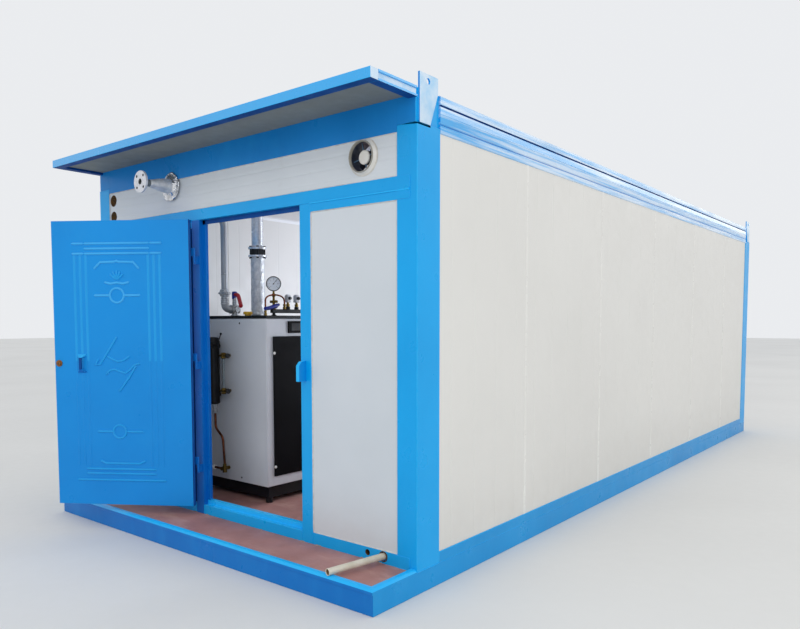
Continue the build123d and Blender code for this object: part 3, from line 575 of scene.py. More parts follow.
def addPiece(name, bm, finishes, body="house", stands=(), slot=None, sharp=20, flat=False):
    bmesh.ops.recalc_face_normals(bm, faces=bm.faces[:])
    for face in bm.faces:
        face.smooth = not flat
    for edge in bm.edges:
        edge.smooth = len(edge.link_faces) == 2 and edge.calc_face_angle(0) < radians(sharp)
    mesh = bpy.data.meshes.new(name)
    bm.to_mesh(mesh)
    bm.free()
    for finish in finishes:
        mesh.materials.append(finish)
    piece = bpy.data.objects.new(name, mesh)
    scene.collection.objects.link(piece)
    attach(piece, body)
    if stands:
        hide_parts(*stands)
    return piece


# turned parts as one piece, each (profile, base, axis, steps) and what else addLathe takes
def turnedPiece(name, rows, finishes, **more):
    bm = bmesh.new()
    for row in rows:
        addLathe(bm, *row)
    return addPiece(name, bm, finishes, **more)


# blocks of one finish as one piece, each (low, high, edge) and a turn where it has one
def blockPiece(name, rows, finish, **more):
    bm = bmesh.new()
    for row in rows:
        addBlock(bm, *row)
    return addPiece(name, bm, [finish, finish], **more)


def nodeSolid(node):
    bm = bmesh.new()
    bm.from_mesh(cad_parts[node].data)
    bmesh.ops.remove_doubles(bm, verts=bm.verts, dist=1e-5)
    return bm


def mergeFlats(bm):
    bmesh.ops.dissolve_limit(bm, angle_limit=radians(1), verts=bm.verts[:], edges=bm.edges[:])
    for face in bm.faces:
        face.material_index = 0


def solidCopy(node, edge):
    bm = nodeSolid(node)
    mergeFlats(bm)
    softenEdges(bm, edge)
    return bm


# a node's own solid with softened edges, in one finish
def copyPiece(name, node, edge, finish, **more):
    return addPiece(name, solidCopy(node, edge), [finish, finish], stands=[node], **more)


# cuts the solids in cutters out of a piece, or joins them to it
def combine(piece, cutters, operation="DIFFERENCE"):
    for bm in cutters:
        mesh = bpy.data.meshes.new("holeCutter")
        bmesh.ops.recalc_face_normals(bm, faces=bm.faces[:])
        bm.to_mesh(mesh)
        bm.free()
        cutter = bpy.data.objects.new("holeCutter", mesh)
        scene.collection.objects.link(cutter)
        change = piece.modifiers.new("hole", "BOOLEAN")
        change.object = cutter
        change.operation = operation
        change.solver = "EXACT"
        bpy.context.view_layer.update()
        changed = piece.evaluated_get(bpy.context.evaluated_depsgraph_get())
        result = bpy.data.meshes.new_from_object(changed)
        piece.modifiers.clear()
        old = piece.data
        piece.data = result
        bpy.data.meshes.remove(old)
        bpy.data.objects.remove(cutter)
        bpy.data.meshes.remove(mesh)


# solids joined into one, with a flat chamfer where isChamfered(point) holds at both ends of an edge
def joinedCopy(nodes, edge, chamfer, isChamfered, finish):
    solids = [nodeSolid(node) for node in nodes]
    mesh = bpy.data.meshes.new("joinedSolid")
    solids[0].to_mesh(mesh)
    solids.pop(0).free()
    whole = bpy.data.objects.new("joinedSolid", mesh)
    scene.collection.objects.link(whole)
    combine(whole, solids, "UNION")
    joined = bmesh.new()
    joined.from_mesh(whole.data)
    bpy.data.objects.remove(whole)
    bmesh.ops.remove_doubles(joined, verts=joined.verts, dist=1e-5)
    mergeFlats(joined)
    cut = [e for e in joined.edges if all(isChamfered(v.co) for v in e.verts)]
    bmesh.ops.bevel(
        joined, geom=cut, offset=chamfer, segments=1, affect="EDGES", clamp_overlap=True, material=finish)
    softenEdges(joined, edge)
    return joined


# flat faces that look along a direction take another finish, all of them or those where(centre) picks
def tintFaces(bm, direction, finish, where=None):
    bmesh.ops.recalc_face_normals(bm, faces=bm.faces[:])
    for face in bm.faces:
        looks = face.normal.dot(Vector(direction)) > 0.9
        if looks and (where is None or where(face.calc_center_median())):
            face.material_index = finish


def paint(node, finish):
    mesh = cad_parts[node].data
    mesh.materials.clear()
    mesh.materials.append(finish)


def boxOf(node):
    low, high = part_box(node)
    return tuple(low), tuple(high)


# welded frame: every member keeps its solid and gets a rolled edge
steel = {
    "edge": 0.003, "postEdge": 0.004, "railEdge": 0.001, "tread": 0.010, "planed": 0.014,
    "members": {
        "rear_posts": "rearPosts", "wall_tracks": "wallTracks", "door_header": "doorHeader",
        "door_sill": "doorSill", "front_bottom_rails": "frontBottomRails",
        "panel_head_trims": "panelHeadTrims",
    },
    "baseNodes": ("base_front_beam", "base_side_beams", "base_rear_beam", "porch_end_lips"),
    "gapHeight": 0.014, "gapAlong": 0.105, "gapBack": 0.116, "gapTip": 0.002, "gapPast": 0.010,
    "lap": 0.088, "lapThick": 0.003, "lapRoot": 0.004, "lapSink": 0.002, "lapInset": 0.001,
    "lapEdge": 0.0012,
    "lapNodes": ("door_header", "panel_head_trims", "front_bottom_rails"),
}
front, down = (0, -1, 0), (0, 0, -1)
postLow, postHigh = boxOf("front_posts")
jambLow, jambHigh = boxOf("door_jambs")
sillLow, sillHigh = boxOf("door_sill")
headerLow, headerHigh = boxOf("door_header")
wallFace = postLow[1]
halfWidth = postHigh[0]
postTop = postHigh[2]
postInner = headerHigh[0]
for node, name in steel["members"].items():
    member = solidCopy(node, steel["edge"])
    finishes = [enamelBase if node == "wall_tracks" else enamelBlue, enamelEdge]
    if node == "door_sill":  # the tread and its upper fronts take the bright top blue: painted light from above
        finishes.append(enamelTop)
        tintFaces(member, zAxis, 2)
        tintFaces(member, front, 2, lambda at: at.y > sillLow[1] + steel["tread"])
    addPiece(name, member, finishes, stands=[node], slot="blue_paint")
# beams and porch lips are ground flush, so they are joined first and no seam shows at the corner
porchTop = boxOf("porch_end_lips")[1][2]
porchFront = boxOf("base_front_beam")[0][1]
beamSide = boxOf("base_side_beams")[1][0]
hair = 0.0005


def isPorchRim(at):  # outer top edge of the porch, planed off at 45 degrees
    outer = at.y < porchFront + hair or abs(at.x) > beamSide - hair
    return outer and at.z > porchTop - hair


baseBm = joinedCopy(steel["baseNodes"], steel["edge"], steel["planed"], isPorchRim, 3)
# fronts take the deepest blue, painted shade low down; tops and the planed rim the bright top blue, painted
# light from above
tintFaces(baseBm, front, 2)
tintFaces(baseBm, zAxis, 3)
for face in baseBm.faces:
    if face.normal.z > 0.3 and face.calc_center_median().z > porchTop - steel["planed"]:
        face.material_index = 3
addPiece("baseFrame", baseBm, [enamelBase, enamelBase, enamelFront, enamelTop],
         stands=steel["baseNodes"], slot="blue_paint")
copyPiece("endTopRails", "end_top_rails", steel["railEdge"], enamelShaded, slot="blue_paint")
# the hinge jamb's front and reveal take a deeper blue: painted shade from the open leaf
jambs = solidCopy("door_jambs", steel["edge"])
for direction in (xAxis, front):
    tintFaces(jambs, direction, 2, lambda at: at.x < 0)
addPiece("doorJambs", jambs, [enamelBlue, enamelEdge, revealBlue], stands=["door_jambs"], slot="blue_paint")
postPiece = addPiece("frontPosts", solidCopy("front_posts", steel["postEdge"]),
                     [enamelBlue, enamelEdge, shadowNavy], stands=["front_posts"], slot="blue_paint")
# the right post stops short of the corner head at its outer front corner, and the gap closes inward
gapPast = steel["gapPast"]
gapStart, gapEnd = halfWidth - steel["gapAlong"], halfWidth + gapPast
gapFloor = postTop - steel["gapHeight"]
wedge = [(gapStart, postTop - steel["gapTip"]), (gapEnd, gapFloor),
         (gapEnd, postTop + gapPast), (gapStart, postTop + gapPast)]
cutter = bmesh.new()
addExtrusion(cutter, [(x, wallFace - gapPast, z) for x, z in wedge], (0, steel["gapBack"] + gapPast, 0))
combine(postPiece, [cutter])
# faces inside the gap take near-black navy: painted shadow
for face in postPiece.data.polygons:
    if gapFloor - 2 * hair < face.center.z < postTop - hair and face.center.x > gapStart:
        back = face.normal.y < -0.9 and face.center.y > wallFace + 2 * gapPast
        if abs(face.normal.z) > 0.7 or back:
            face.material_index = 2

# header, head trim and bottom rail run on over the post face as welded laps
laps = bmesh.new()
lapEnd = postInner + steel["lap"]
lapFace = wallFace - steel["lapThick"]
for node in steel["lapNodes"]:
    low, high = boxOf(node)
    for side in (-1, 1):
        left, right = sorted((side * (postInner - steel["lapRoot"]), side * lapEnd))
        addBlock(laps, (left, lapFace, low[2] + steel["lapInset"]),
                 (right, wallFace + steel["lapSink"], high[2] - steel["lapInset"]),
                 steel["lapEdge"])
addPiece("postLaps", laps, [enamelBlue, enamelEdge], slot="blue_paint")
# the head trims are folded at their top, and the fold takes the bright top blue: a painted highlight under
# the header
trimFold = {"radius": 0.0045, "flat": 0.5}
folds = bmesh.new()
trimTop = boxOf("panel_head_trims")[1][2]
for start, stop in ((-lapEnd, jambLow[0]), (jambHigh[0], lapEnd)):
    addTube(folds, [(x, lapFace, trimTop) for x in (start, stop)], trimFold["radius"],
            sides=12, flat=trimFold["flat"], up=yAxis)
addPiece("trimFolds", folds, [enamelTop], slot="blue_paint", sharp=40)

# weld seams: uneven beads that thin out at both ends
weld = {
    "step": 0.006, "pace": 0.35, "uneven": 0.25, "taper": 0.35, "sides": 10, "proud": 0.001,
    "lap": 0.0035, "lapInset": 0.004, "jamb": 0.003, "jambLow": 0.126, "jambHigh": 0.190,
    "foot": 0.004, "footHeight": 0.124, "footStart": 0.004, "footEnd": 0.204,
}


def weldLine(bm, start, end, radius, seed, step=weld["step"]):
    start, end = Vector(start), Vector(end)
    count = max(4, int((end - start).length / step))
    points = [start.lerp(end, i / count) for i in range(count + 1)]
    sizes = []
    for i in range(count + 1):
        lift = noise.noise(Vector((i * weld["pace"], seed, 0.0)))
        sizes.append(radius * (1.0 + weld["uneven"] * lift) * (weld["taper"] if i in (0, count) else 1.0))
    addTube(bm, points, sizes, sides=weld["sides"])


welds = bmesh.new()
weldY = wallFace - weld["proud"]
footZ = weld["footHeight"]
for side in (-1, 1):
    x = side * lapEnd
    for node in steel["lapNodes"]:
        low, high = boxOf(node)
        weldLine(welds, (x, weldY, low[2] + weld["lapInset"]), (x, weldY, high[2] - weld["lapInset"]),
                 weld["lap"], side * 3 + low[2])
for x in (jambLow[0], jambHigh[0], sillLow[0], sillHigh[0]):
    weldLine(welds, (x, wallFace, weld["jambLow"]), (x, wallFace, weld["jambHigh"]), weld["jamb"], x)
for side in (-1, 1):
    x = side * (halfWidth - weld["proud"])
    weldLine(welds, (x, wallFace + weld["footStart"], footZ), (x, wallFace + weld["footEnd"], footZ),
             weld["foot"], x)
    weldLine(welds, (side * postInner, weldY, footZ), (side * halfWidth, weldY, footZ), weld["foot"], x + 1)
addPiece("weldSeams", welds, [enamelBlue], slot="blue_paint")

# corner heads: bevelled head with the lug plate standing a little proud, welded all round
cornerHead = {"edge": 0.003, "weld": 0.0045, "shadedInset": 0.006, "highlightInset": 0.004}
lugs = {"thick": 0.012, "setback": 0.021, "width": 0.165, "foot": 0.095, "bottom": 2.526, "railTop": 2.698}
canopyLow, canopyHigh = boxOf("canopy_frame")
heads = solidCopy("corner_heads", cornerHead["edge"])
# front faces under the canopy take the canopy-shade blue, painted shade; the outer lug faces the near-white
# finish, a painted reflection
tintFaces(heads, front, 2, lambda at: (
    at.y < 0 and at.z < canopyHigh[2] and abs(at.x) < halfWidth - cornerHead["shadedInset"]))
for direction in (xAxis, (-1, 0, 0)):
    tintFaces(heads, direction, 3, lambda at: abs(at.x) > halfWidth - cornerHead["highlightInset"])
addPiece("cornerHeads", heads, [enamelBlue, enamelEdge, enamelShaded, enamelChalk],
         stands=["corner_heads"], slot="blue_paint")
headWelds = bmesh.new()
for side in (-1, 1):
    x = side * (halfWidth - lugs["thick"] + weld["proud"])
    for faceY, inward in ((wallFace, 1), (boxOf("rear_posts")[1][1], -1)):
        for foot, head in ((0.0, 0.0), (lugs["foot"], lugs["width"])):
            low = faceY + inward * (lugs["setback"] + foot)
            high = faceY + inward * (lugs["setback"] + head)
            weldLine(headWelds, (x, low, lugs["bottom"]), (x, high, lugs["railTop"]),
                     cornerHead["weld"], high + side)
addPiece("lugWelds", headWelds, [enamelBlue], slot="blue_paint")

# side rails: a rolled section with a groove and two shallow steps, slightly wavy along its length
sideRail = {
    "cuts": 70, "waveMm": 0.5, "waveLength": 0.55, "skin": 0.02,
    "section": [  # (in from the outer face, height)
        (0.070, 2.496), (0.004, 2.496), (0.000, 2.500), (0.0005, 2.538), (0.004, 2.543), (0.0045, 2.548),
        (0.0010, 2.553), (0.0000, 2.590), (0.0012, 2.594), (0.0012, 2.599), (0.0002, 2.603), (0.0008, 2.640),
        (0.008, 2.6425), (0.008, 2.649), (0.0006, 2.6515), (0.0000, 2.693), (0.005, 2.698), (0.070, 2.698)],
    "grooves": {1: (2.6405, 2.651), 2: (2.5405, 2.5505)},  # finish and the heights between which it lies
}
railLow, railHigh = boxOf("side_top_rails")
rails = bmesh.new()


def isRailSkin(at):
    return abs(at.x) >= halfWidth - sideRail["skin"]


def railRipple(point):
    if not isRailSkin(point):
        return Vector((0, 0, 0))
    side = 1 if point.x > 0 else -1
    swell = noise.noise(Vector((point.y / sideRail["waveLength"], point.z * 9, side * 4.0)))
    return Vector((-side * abs(swell) * sideRail["waveMm"] / 1000, 0, 0))


for side in (-1, 1):
    outline = [(side * (halfWidth - depth), railLow[1], z) for depth, z in sideRail["section"]]
    addExtrusion(rails, outline, (0, railHigh[1] - railLow[1], 0), cuts=sideRail["cuts"], sway=railRipple)
for finish, (bottom, top) in sideRail["grooves"].items():  # the rolled grooves take navy and deep blue: painted shadow lines in them
    for direction in (zAxis, down, xAxis, (-1, 0, 0)):
        tintFaces(rails, direction, finish, lambda at: isRailSkin(at) and bottom < at.z < top)
addPiece("sideTopRails", rails, [enamelRail, navyCoat, revealBlue],
         stands=["side_top_rails"], slot="blue_paint", sharp=12)
print("welded frame dressed")

# canopy: a fascia along the front, channels at the ends, a soffit sheet below and a lapped sheet on top
canopy = {
    "border": 0.060, "lip": 0.011, "lipFall": 0.002, "web": 0.009, "edge": 0.0025,
    "sag": 0.0025, "cuts": 48, "near": 0.001,
}
canopyBars = bmesh.new()
border, near = canopy["border"], canopy["near"]
left, startY, bottom = canopyLow
right, endY, top = canopyHigh
addBlock(canopyBars, canopyLow, (right, startY + border, top), canopy["edge"])
soffitLow, soffitHigh = boxOf("canopy_soffit")
# the rear bar lies above the sheet that covers it
addBlock(canopyBars, (left + border, endY - border, soffitLow[2]), (right - border, endY, top), 0)
channelY = startY + border
for side in (-1, 1):
    outer, inner, recess = [side * (right - inset) for inset in (0, border, canopy["web"])]
    lip, lipEnd = canopy["lip"], canopy["lip"] + canopy["lipFall"]
    outline = [(inner, bottom), (outer, bottom), (outer, bottom + lip), (recess, bottom + lipEnd),
               (recess, top - lipEnd), (outer, top - lip), (outer, top), (inner, top)]
    addExtrusion(canopyBars, [(x, channelY, z) for x, z in outline], (0, endY - channelY, 0))
    # the end channels' recess and front corner take the near-white finish, a painted reflection; their inner
    # faces navy, painted shade
    tintFaces(canopyBars, (side, 0, 0), 4,
              lambda at: abs(abs(at.x) - abs(recess)) < near or at.y < channelY)
    tintFaces(canopyBars, (-side, 0, 0), 2, lambda at: abs(abs(at.x) - abs(inner)) < near)
# the frame's underside takes navy: painted shade
tintFaces(canopyBars, down, 2, lambda at: at.z < bottom + 2 * near)
tintFaces(canopyBars, down, 3, lambda at: abs(at.z - soffitLow[2]) < near)
addPiece("canopyFrame", canopyBars, [enamelFascia, enamelEdge, navyCoat, soffitPaint, enamelChalk],
         stands=["canopy_frame"], slot="blue_paint")


def sheetSag(point):  # the thin sheet hangs a little between its fixings
    return Vector((0, 0, -canopy["sag"] * abs(noise.noise(Vector((point.x * 2.2, point.y * 4, 1.0))))))


soffit = bmesh.new()
corners = [(soffitLow[1], soffitLow[2]), (soffitHigh[1], soffitLow[2]),
           (soffitHigh[1], soffitHigh[2]), (soffitLow[1], soffitHigh[2])]
addExtrusion(soffit, [(soffitLow[0], y, z) for y, z in corners], (soffitHigh[0] - soffitLow[0], 0, 0),
             cuts=canopy["cuts"], sway=sheetSag)
tintFaces(soffit, zAxis, 1)
addPiece("canopySoffit", soffit, [soffitPaint, roofZinc], stands=["canopy_soffit"], slot="soffit_sheet")

# roof: ribbed sheet laid across the house, with screw caps, under the level of the rails
roof = {
    "pitch": 0.245, "foot": 0.075, "crown": 0.03, "screws": 5, "screwInset": 0.15,
    "screw": [(0, 0.006), (0.007, 0.0055), (0.0075, 0.0015), (0.011, 0.001), (0.011, 0)],
    "shoulder": 0.82, "brow": 0.97, "flare": 0.006, "round": 0.004,
    "canopyRib": 0.03, "canopyInset": 0.04, "canopyRise": 0.007, "sink": 0.001, "edge": 0.003,
}
roofTop = boxOf("roof_panels")[1][2]
paint("roof_panels", roofZinc)
ribLow, ribHigh = boxOf("roof_ribs")
ribRise = ribHigh[2] - roofTop
ribLength = ribHigh[0] - ribLow[0]
half, crown = roof["foot"] / 2, roof["crown"] / 2
risingSide = [(half, 0), (crown + roof["flare"], ribRise * roof["shoulder"]),
              (crown, ribRise * roof["brow"]), (crown - roof["round"], ribRise)]
ribSection = [(-run, lift) for run, lift in risingSide] + risingSide[::-1]
roofRibs = bmesh.new()
for i in range(round((ribHigh[1] - ribLow[1] - roof["foot"]) / roof["pitch"]) + 1):
    y = ribLow[1] + half + i * roof["pitch"]
    outline = [(ribLow[0], y + run, roofTop + lift) for run, lift in ribSection]
    addExtrusion(roofRibs, outline, (ribLength, 0, 0))
    for k in range(roof["screws"]):
        x = ribLow[0] + roof["screwInset"] + k * (ribLength - 2 * roof["screwInset"]) / (roof["screws"] - 1)
        addLathe(roofRibs, roof["screw"], (x, y, roofTop + ribRise), zAxis, 12)
addPiece("roofRibs", roofRibs, [roofZinc], stands=["roof_ribs"], slot="roof_sheet")
canopyRibs = []
for i in range(int((soffitHigh[0] - soffitLow[0]) / roof["pitch"]) + 1):
    x = soffitLow[0] + roof["canopyInset"] + i * roof["pitch"]
    ribEnd = (x + roof["canopyRib"], soffitHigh[1], soffitHigh[2] + roof["canopyRise"])
    canopyRibs.append(((x, soffitLow[1], soffitHigh[2] - roof["sink"]), ribEnd, roof["edge"]))
blockPiece("canopyTopRibs", canopyRibs, roofZinc, slot="roof_sheet")
paint("ceiling", liningWhite)
# angle that closes the joint of wall and ceiling inside, as (in from the wall, down from the ceiling)
cove = {
    "start": -3.25, "end": 3.70,
    "section": [(0, 0), (0.034, 0), (0.034, 0.003), (0.004, 0.004), (0.003, 0.030), (0, 0.030)],
}
ceilingLow = boxOf("ceiling")[0][2]
wallInner = boxOf("right_wall")[0][0]
coveBm = bmesh.new()
for side in (-1, 1):
    outline = [(side * (wallInner - run), cove["start"], ceilingLow - drop) for run, drop in cove["section"]]
    addExtrusion(coveBm, outline, (0, cove["end"] - cove["start"], 0))
addPiece("ceilingCove", coveBm, [liningWhite], slot="white_panel")
for node in ("roof_bearers", "floor_bearers"):
    paint(node, bareSteel)
print("canopy and roof dressed")

# sandwich panels: shallow rolled grooves, a chamfer at each joint and a white strip over each seam outside
panel = {
    "groove": 0.245, "depth": 0.0009, "half": 0.007, "floor": 0.4, "chamfer": 0.002, "margin": 0.03,
    "seam": 0.002, "pitch": 1.225, "strip": 0.013, "stripTop": 0.8, "stripRise": 0.0022,
    "rearSink": 0.001, "rearRise": 0.002, "rearEdge": 0.001,
}


def panelRuns(low, high):
    count = int((high - low) // panel["pitch"])
    middle = (low + high) / 2
    seams = [middle + (i - (count - 1) / 2) * panel["pitch"] for i in range(count)]
    starts = [low] + [s + panel["seam"] / 2 for s in seams]
    stops = [s - panel["seam"] / 2 for s in seams] + [high]
    return list(zip(starts, stops)), seams


# section of one panel as (run, depth): depth 0 is the outer face, thick the inner face
def panelSection(start, stop, thick):
    c, d, h = panel["chamfer"], panel["depth"], panel["half"]
    floor = h * panel["floor"]
    outer = [(start, c), (start + c, 0.0)]
    at = start + panel["groove"] / 2
    while at < stop - panel["margin"]:
        outer += [(at - h, 0.0), (at - floor, d), (at + floor, d), (at + h, 0.0)]
        at += panel["groove"]
    outer += [(stop - c, 0.0), (stop, c)]
    return outer + [(run, thick - depth) for run, depth in reversed(outer)]


for node, name, side in (("left_wall", "leftWall", -1), ("right_wall", "rightWall", 1)):
    low, high = boxOf(node)
    upward = (0, 0, high[2] - low[2])
    outerX = side * max(abs(low[0]), abs(high[0]))
    runs, seams = panelRuns(low[1], high[1])
    panels = bmesh.new()
    for start, stop in runs:
        section = panelSection(start, stop, high[0] - low[0])
        addExtrusion(panels, [(outerX - side * depth, run, low[2]) for run, depth in section], upward)
    addPiece(name + "Panels", panels, [sideCoat], stands=[node], slot="white_panel", sharp=3)
    strips = bmesh.new()
    raised = outerX + side * panel["stripRise"]
    foot, crown = panel["strip"], panel["strip"] * panel["stripTop"]
    for seam in seams:
        outline = [(outerX, -foot), (raised, -crown), (raised, crown), (outerX, foot)]
        addExtrusion(strips, [(x, seam + run, low[2]) for x, run in outline], upward)
    addPiece(name + "SeamStrips", strips, [seamStrip], slot="white_panel")
low, high = boxOf("rear_wall")
runs, seams = panelRuns(low[0], high[0])
panels = bmesh.new()
for start, stop in runs:
    section = panelSection(start, stop, high[1] - low[1])
    outline = [(run, high[1] - depth, low[2]) for run, depth in section]
    addExtrusion(panels, outline, (0, 0, high[2] - low[2]))
addPiece("rearWallPanels", panels, [sideCoat], stands=["rear_wall"], slot="white_panel", sharp=3)
rearStrips = [((seam - panel["strip"], high[1] - panel["rearSink"], low[2]),
               (seam + panel["strip"], high[1] + panel["rearRise"], high[2]), panel["rearEdge"])
              for seam in seams]
blockPiece("rearWallSeamStrips", rearStrips, seamStrip, slot="white_panel")

# front wall: flat panels beside the door, a banded transom panel with its holes cut
wall = {
    "edge": 0.0015, "band": 0.066, "firstBand": 0.6, "bandDepth": 0.0012, "bandHalf": 0.010,
    "bandFloor": 0.5,
    "margin": 0.02, "sealant": 0.0045, "sealStep": 0.02, "proud": 0.001, "bore": 0.09, "past": 0.02,
    "fanHole": 0.0953, "pipeHole": 0.030, "cableHoles": [(-1.404, 2.426, 0.045), (-1.404, 2.302, 0.042)],
    "foam": [(0.0002, 0.0012), (0.0035, 0.004), (0.004, 0.024), (0.003, 0.046), (0.0002, 0.0488)],
    "foamRough": 0.0016,
}
copyPiece("frontPanels", "front_panels", wall["edge"], panelCoat, slot="white_panel")
low, high = boxOf("front_transom_panel")
transomFace = low[1]
section = [(high[1], low[2]), (transomFace, low[2])]
at = low[2] + wall["band"] * wall["firstBand"]
while at < high[2] - wall["margin"]:
    h, d = wall["bandHalf"], wall["bandDepth"]
    floor = h * wall["bandFloor"]
    section += [(transomFace, at - h), (transomFace + d, at - floor),
                (transomFace + d, at + floor), (transomFace, at + h)]
    at += wall["band"]
section += [(transomFace, high[2]), (high[1], high[2])]
transom = bmesh.new()
addExtrusion(transom, [(low[0], y, z) for y, z in section], (high[0] - low[0], 0, 0))
transomPiece = addPiece("transomPanel", transom, [panelCoat, foamCore],
                        stands=["front_transom_panel"], slot="white_panel", sharp=12)


def uprightCentre(node):
    nodeLow, nodeHigh = boxOf(node)
    return (nodeLow[0] + nodeHigh[0]) / 2, (nodeLow[2] + nodeHigh[2]) / 2


fanX, fanZ = uprightCentre("fan_housing")
stubX, stubZ = uprightCentre("steam_outlet")
wallHoles = [(fanX, fanZ, wall["fanHole"]), (stubX, stubZ, wall["pipeHole"])] + wall["cableHoles"]
cutters = []
for x, z, radius in wallHoles:
    cutter = bmesh.new()
    addLathe(cutter, [(0, 0), (radius, 0), (radius, wall["bore"]), (0, wall["bore"])],
             (x, transomFace - wall["past"], z), yAxis, 56)
    cutters.append(cutter)
combine(transomPiece, cutters)


def tornFoam(point):
    return wall["foamRough"] * noise.noise(point * 140)


foamRows = [([(radius - inset, depth) for inset, depth in wall["foam"]],
             (x, transomFace, z), yAxis, 56, 0, tornFoam) for x, z, radius in wall["cableHoles"]]
turnedPiece("cableHoleFoam", foamRows, [foamCore], slot="white_panel", flat=True)


# a bead of sealant round an upright rectangle
def sealantFrame(bm, left, right, bottom, top, y, seed):
    corners = [(left, bottom), (right, bottom), (right, top), (left, top), (left, bottom)]
    for k, ((startX, startZ), (endX, endZ)) in enumerate(zip(corners, corners[1:])):
        weldLine(bm, (startX, y, startZ), (endX, y, endZ), wall["sealant"], seed + k, wall["sealStep"])


sealLines = bmesh.new()
panelLow, panelHigh = boxOf("front_panels")
for left, right in ((-postInner, jambLow[0]), (jambHigh[0], postInner)):
    sealantFrame(sealLines, left, right, panelLow[2], panelHigh[2], panelLow[1] - wall["proud"], left)
sealantFrame(sealLines, low[0], high[0], low[2], high[2], transomFace - wall["proud"], 7.0)
addPiece("frontSealant", sealLines, [sealant], slot="white_panel")
print("walls dressed")

# floor: painted plate over the porch up to its lips, same paint inside, sealant only where the joint leaked
porch = {
    "thick": 0.002, "gap": 0.001, "sink": 0.0005, "lip": 0.040, "edge": 0.0008,
    "seal": 0.004, "sealStep": 0.008, "sealOut": 0.002,
    "leaks": [  # (start, length)
        (-1.33, 0.05), (-0.92, 0.03), (-0.41, 0.04), (-0.27, 0.03), (0.31, 0.02), (0.69, 0.04),
        (0.82, 0.05), (1.19, 0.02), (1.31, 0.04)],
}
paint("floor_deck", floorOxide)
floorTop = boxOf("porch_end_lips")[0][2]
plateStart = boxOf("base_front_beam")[1][1] + porch["gap"]
plateEnd = wallFace - porch["gap"]
plateSide = halfWidth - porch["lip"] - porch["gap"]
blockPiece("porchPlate", [(
    (-plateSide, plateStart, floorTop - porch["sink"]),
    (plateSide, plateEnd, floorTop + porch["thick"]), porch["edge"])],
    floorOxide, slot="floor_paint")
floorSeal = bmesh.new()
sealY, sealZ = wallFace - porch["sealOut"], floorTop + porch["thick"]
for start, length in porch["leaks"]:
    weldLine(floorSeal, (start, sealY, sealZ), (start + length, sealY, sealZ),
             porch["seal"], start, porch["sealStep"])
addPiece("floorSealant", floorSeal, [oldSealant], slot="white_panel")

# door: two pressed skins over a core, a stamped ornament on both faces
door = {
    "turn": -147.0, "hinge": (-0.302, -3.506, 0.0), "start": 0.017, "end": 1.001,
    "outer": 0.004, "inner": 0.054, "bottom": 0.196, "top": 2.175, "edge": 0.003, "seam": 0.002,
    "core": 0.004,
    "bead": 0.0085, "beadEnd": 0.15, "beadFlat": 0.85, "uprightFlat": 0.2, "beadSides": 14, "ringBead": 0.85,
    "paleAbove": 1.4, "plainBelow": 1.25, "ornamentWidth": 0.9654, "ornamentShift": -0.0021,
}
leafMatrix = Matrix.Translation(door["hinge"]) @ Matrix.Rotation(radians(door["turn"]), 4, "Z")
leafAlong = leafMatrix.to_3x3() @ Vector(xAxis)
leafOut = leafMatrix.to_3x3() @ Vector(yAxis)
leafMiddle = (door["outer"] + door["inner"]) / 2


def onLeaf(along, out, height):
    return leafMatrix @ Vector((along, out, height))


# a point of the ornament, by its distance from the free edge
def onPattern(distance, out, height):
    return onLeaf(door["end"] - distance * door["ornamentWidth"] - door["ornamentShift"], out, height)


leaf = bmesh.new()
halfSeam, core = door["seam"] / 2, door["core"]
for near, far in ((door["outer"], leafMiddle - halfSeam), (leafMiddle + halfSeam, door["inner"])):
    addBlock(leaf, (door["start"], near, door["bottom"]), (door["end"], far, door["top"]),
             door["edge"], leafMatrix)
addBlock(leaf, (door["start"] + core, door["outer"] + core, door["bottom"] + core),
         (door["end"] - core, door["inner"] - core, door["top"] - core), 0, leafMatrix)
# the leaf's long edges take navy: painted shade
for direction in (leafAlong, -leafAlong):
    tintFaces(leaf, direction, 2)
addPiece("doorLeaf", leaf, [doorEnamel, doorEnamel, navyCoat],
         body="door", stands=["door_leaf"], slot="door_paint")

# ornament lines as (distance from the free edge, height)
ornament = [[(0.252, z), (0.724, z)] for z in (2.018, 1.983, 1.949)]
for z in (2.018, 1.949):
    ornament += [[(0.160, z), (0.236, z)], [(0.740, z), (0.816, z)]]
for z in (1.662, 0.715):
    ornament += [[(0.320, z), (0.428, z)], [(0.542, z), (0.652, z)]]
ornament += [
    [(0.322, 1.848), (0.366, 1.889), (0.470, 1.892), (0.486, 1.898), (0.502, 1.892),
     (0.611, 1.889), (0.650, 1.848)],
    [(0.400, 1.752), (0.440, 1.742), (0.486, 1.750), (0.532, 1.742), (0.572, 1.752)],
    [(0.472, 1.371), (0.400, 1.262), (0.348, 1.185), (0.311, 1.180), (0.330, 1.215)],
    [(0.404, 1.240), (0.440, 1.222), (0.477, 1.205), (0.520, 1.212), (0.565, 1.240)],
    [(0.389, 1.116), (0.420, 1.144), (0.454, 1.150), (0.535, 1.123), (0.572, 1.150),
     (0.608, 1.185), (0.640, 1.190)],
    [(0.612, 1.171), (0.560, 1.092), (0.487, 0.998)],
    [(0.338, 0.507), (0.372, 0.490), (0.628, 0.490), (0.663, 0.507)],
    [(0.230, 0.450), (0.745, 0.450)],
    [(0.230, 0.418), (0.745, 0.418)],
    [(0.160, 0.372), (0.816, 0.372)],
]
# long uprights at both sides, pressed shallower
uprights = [[(d, 1.938 - k * 0.1825) for k in range(9)] for d in (0.170, 0.213, 0.256, 0.720, 0.762, 0.806)]
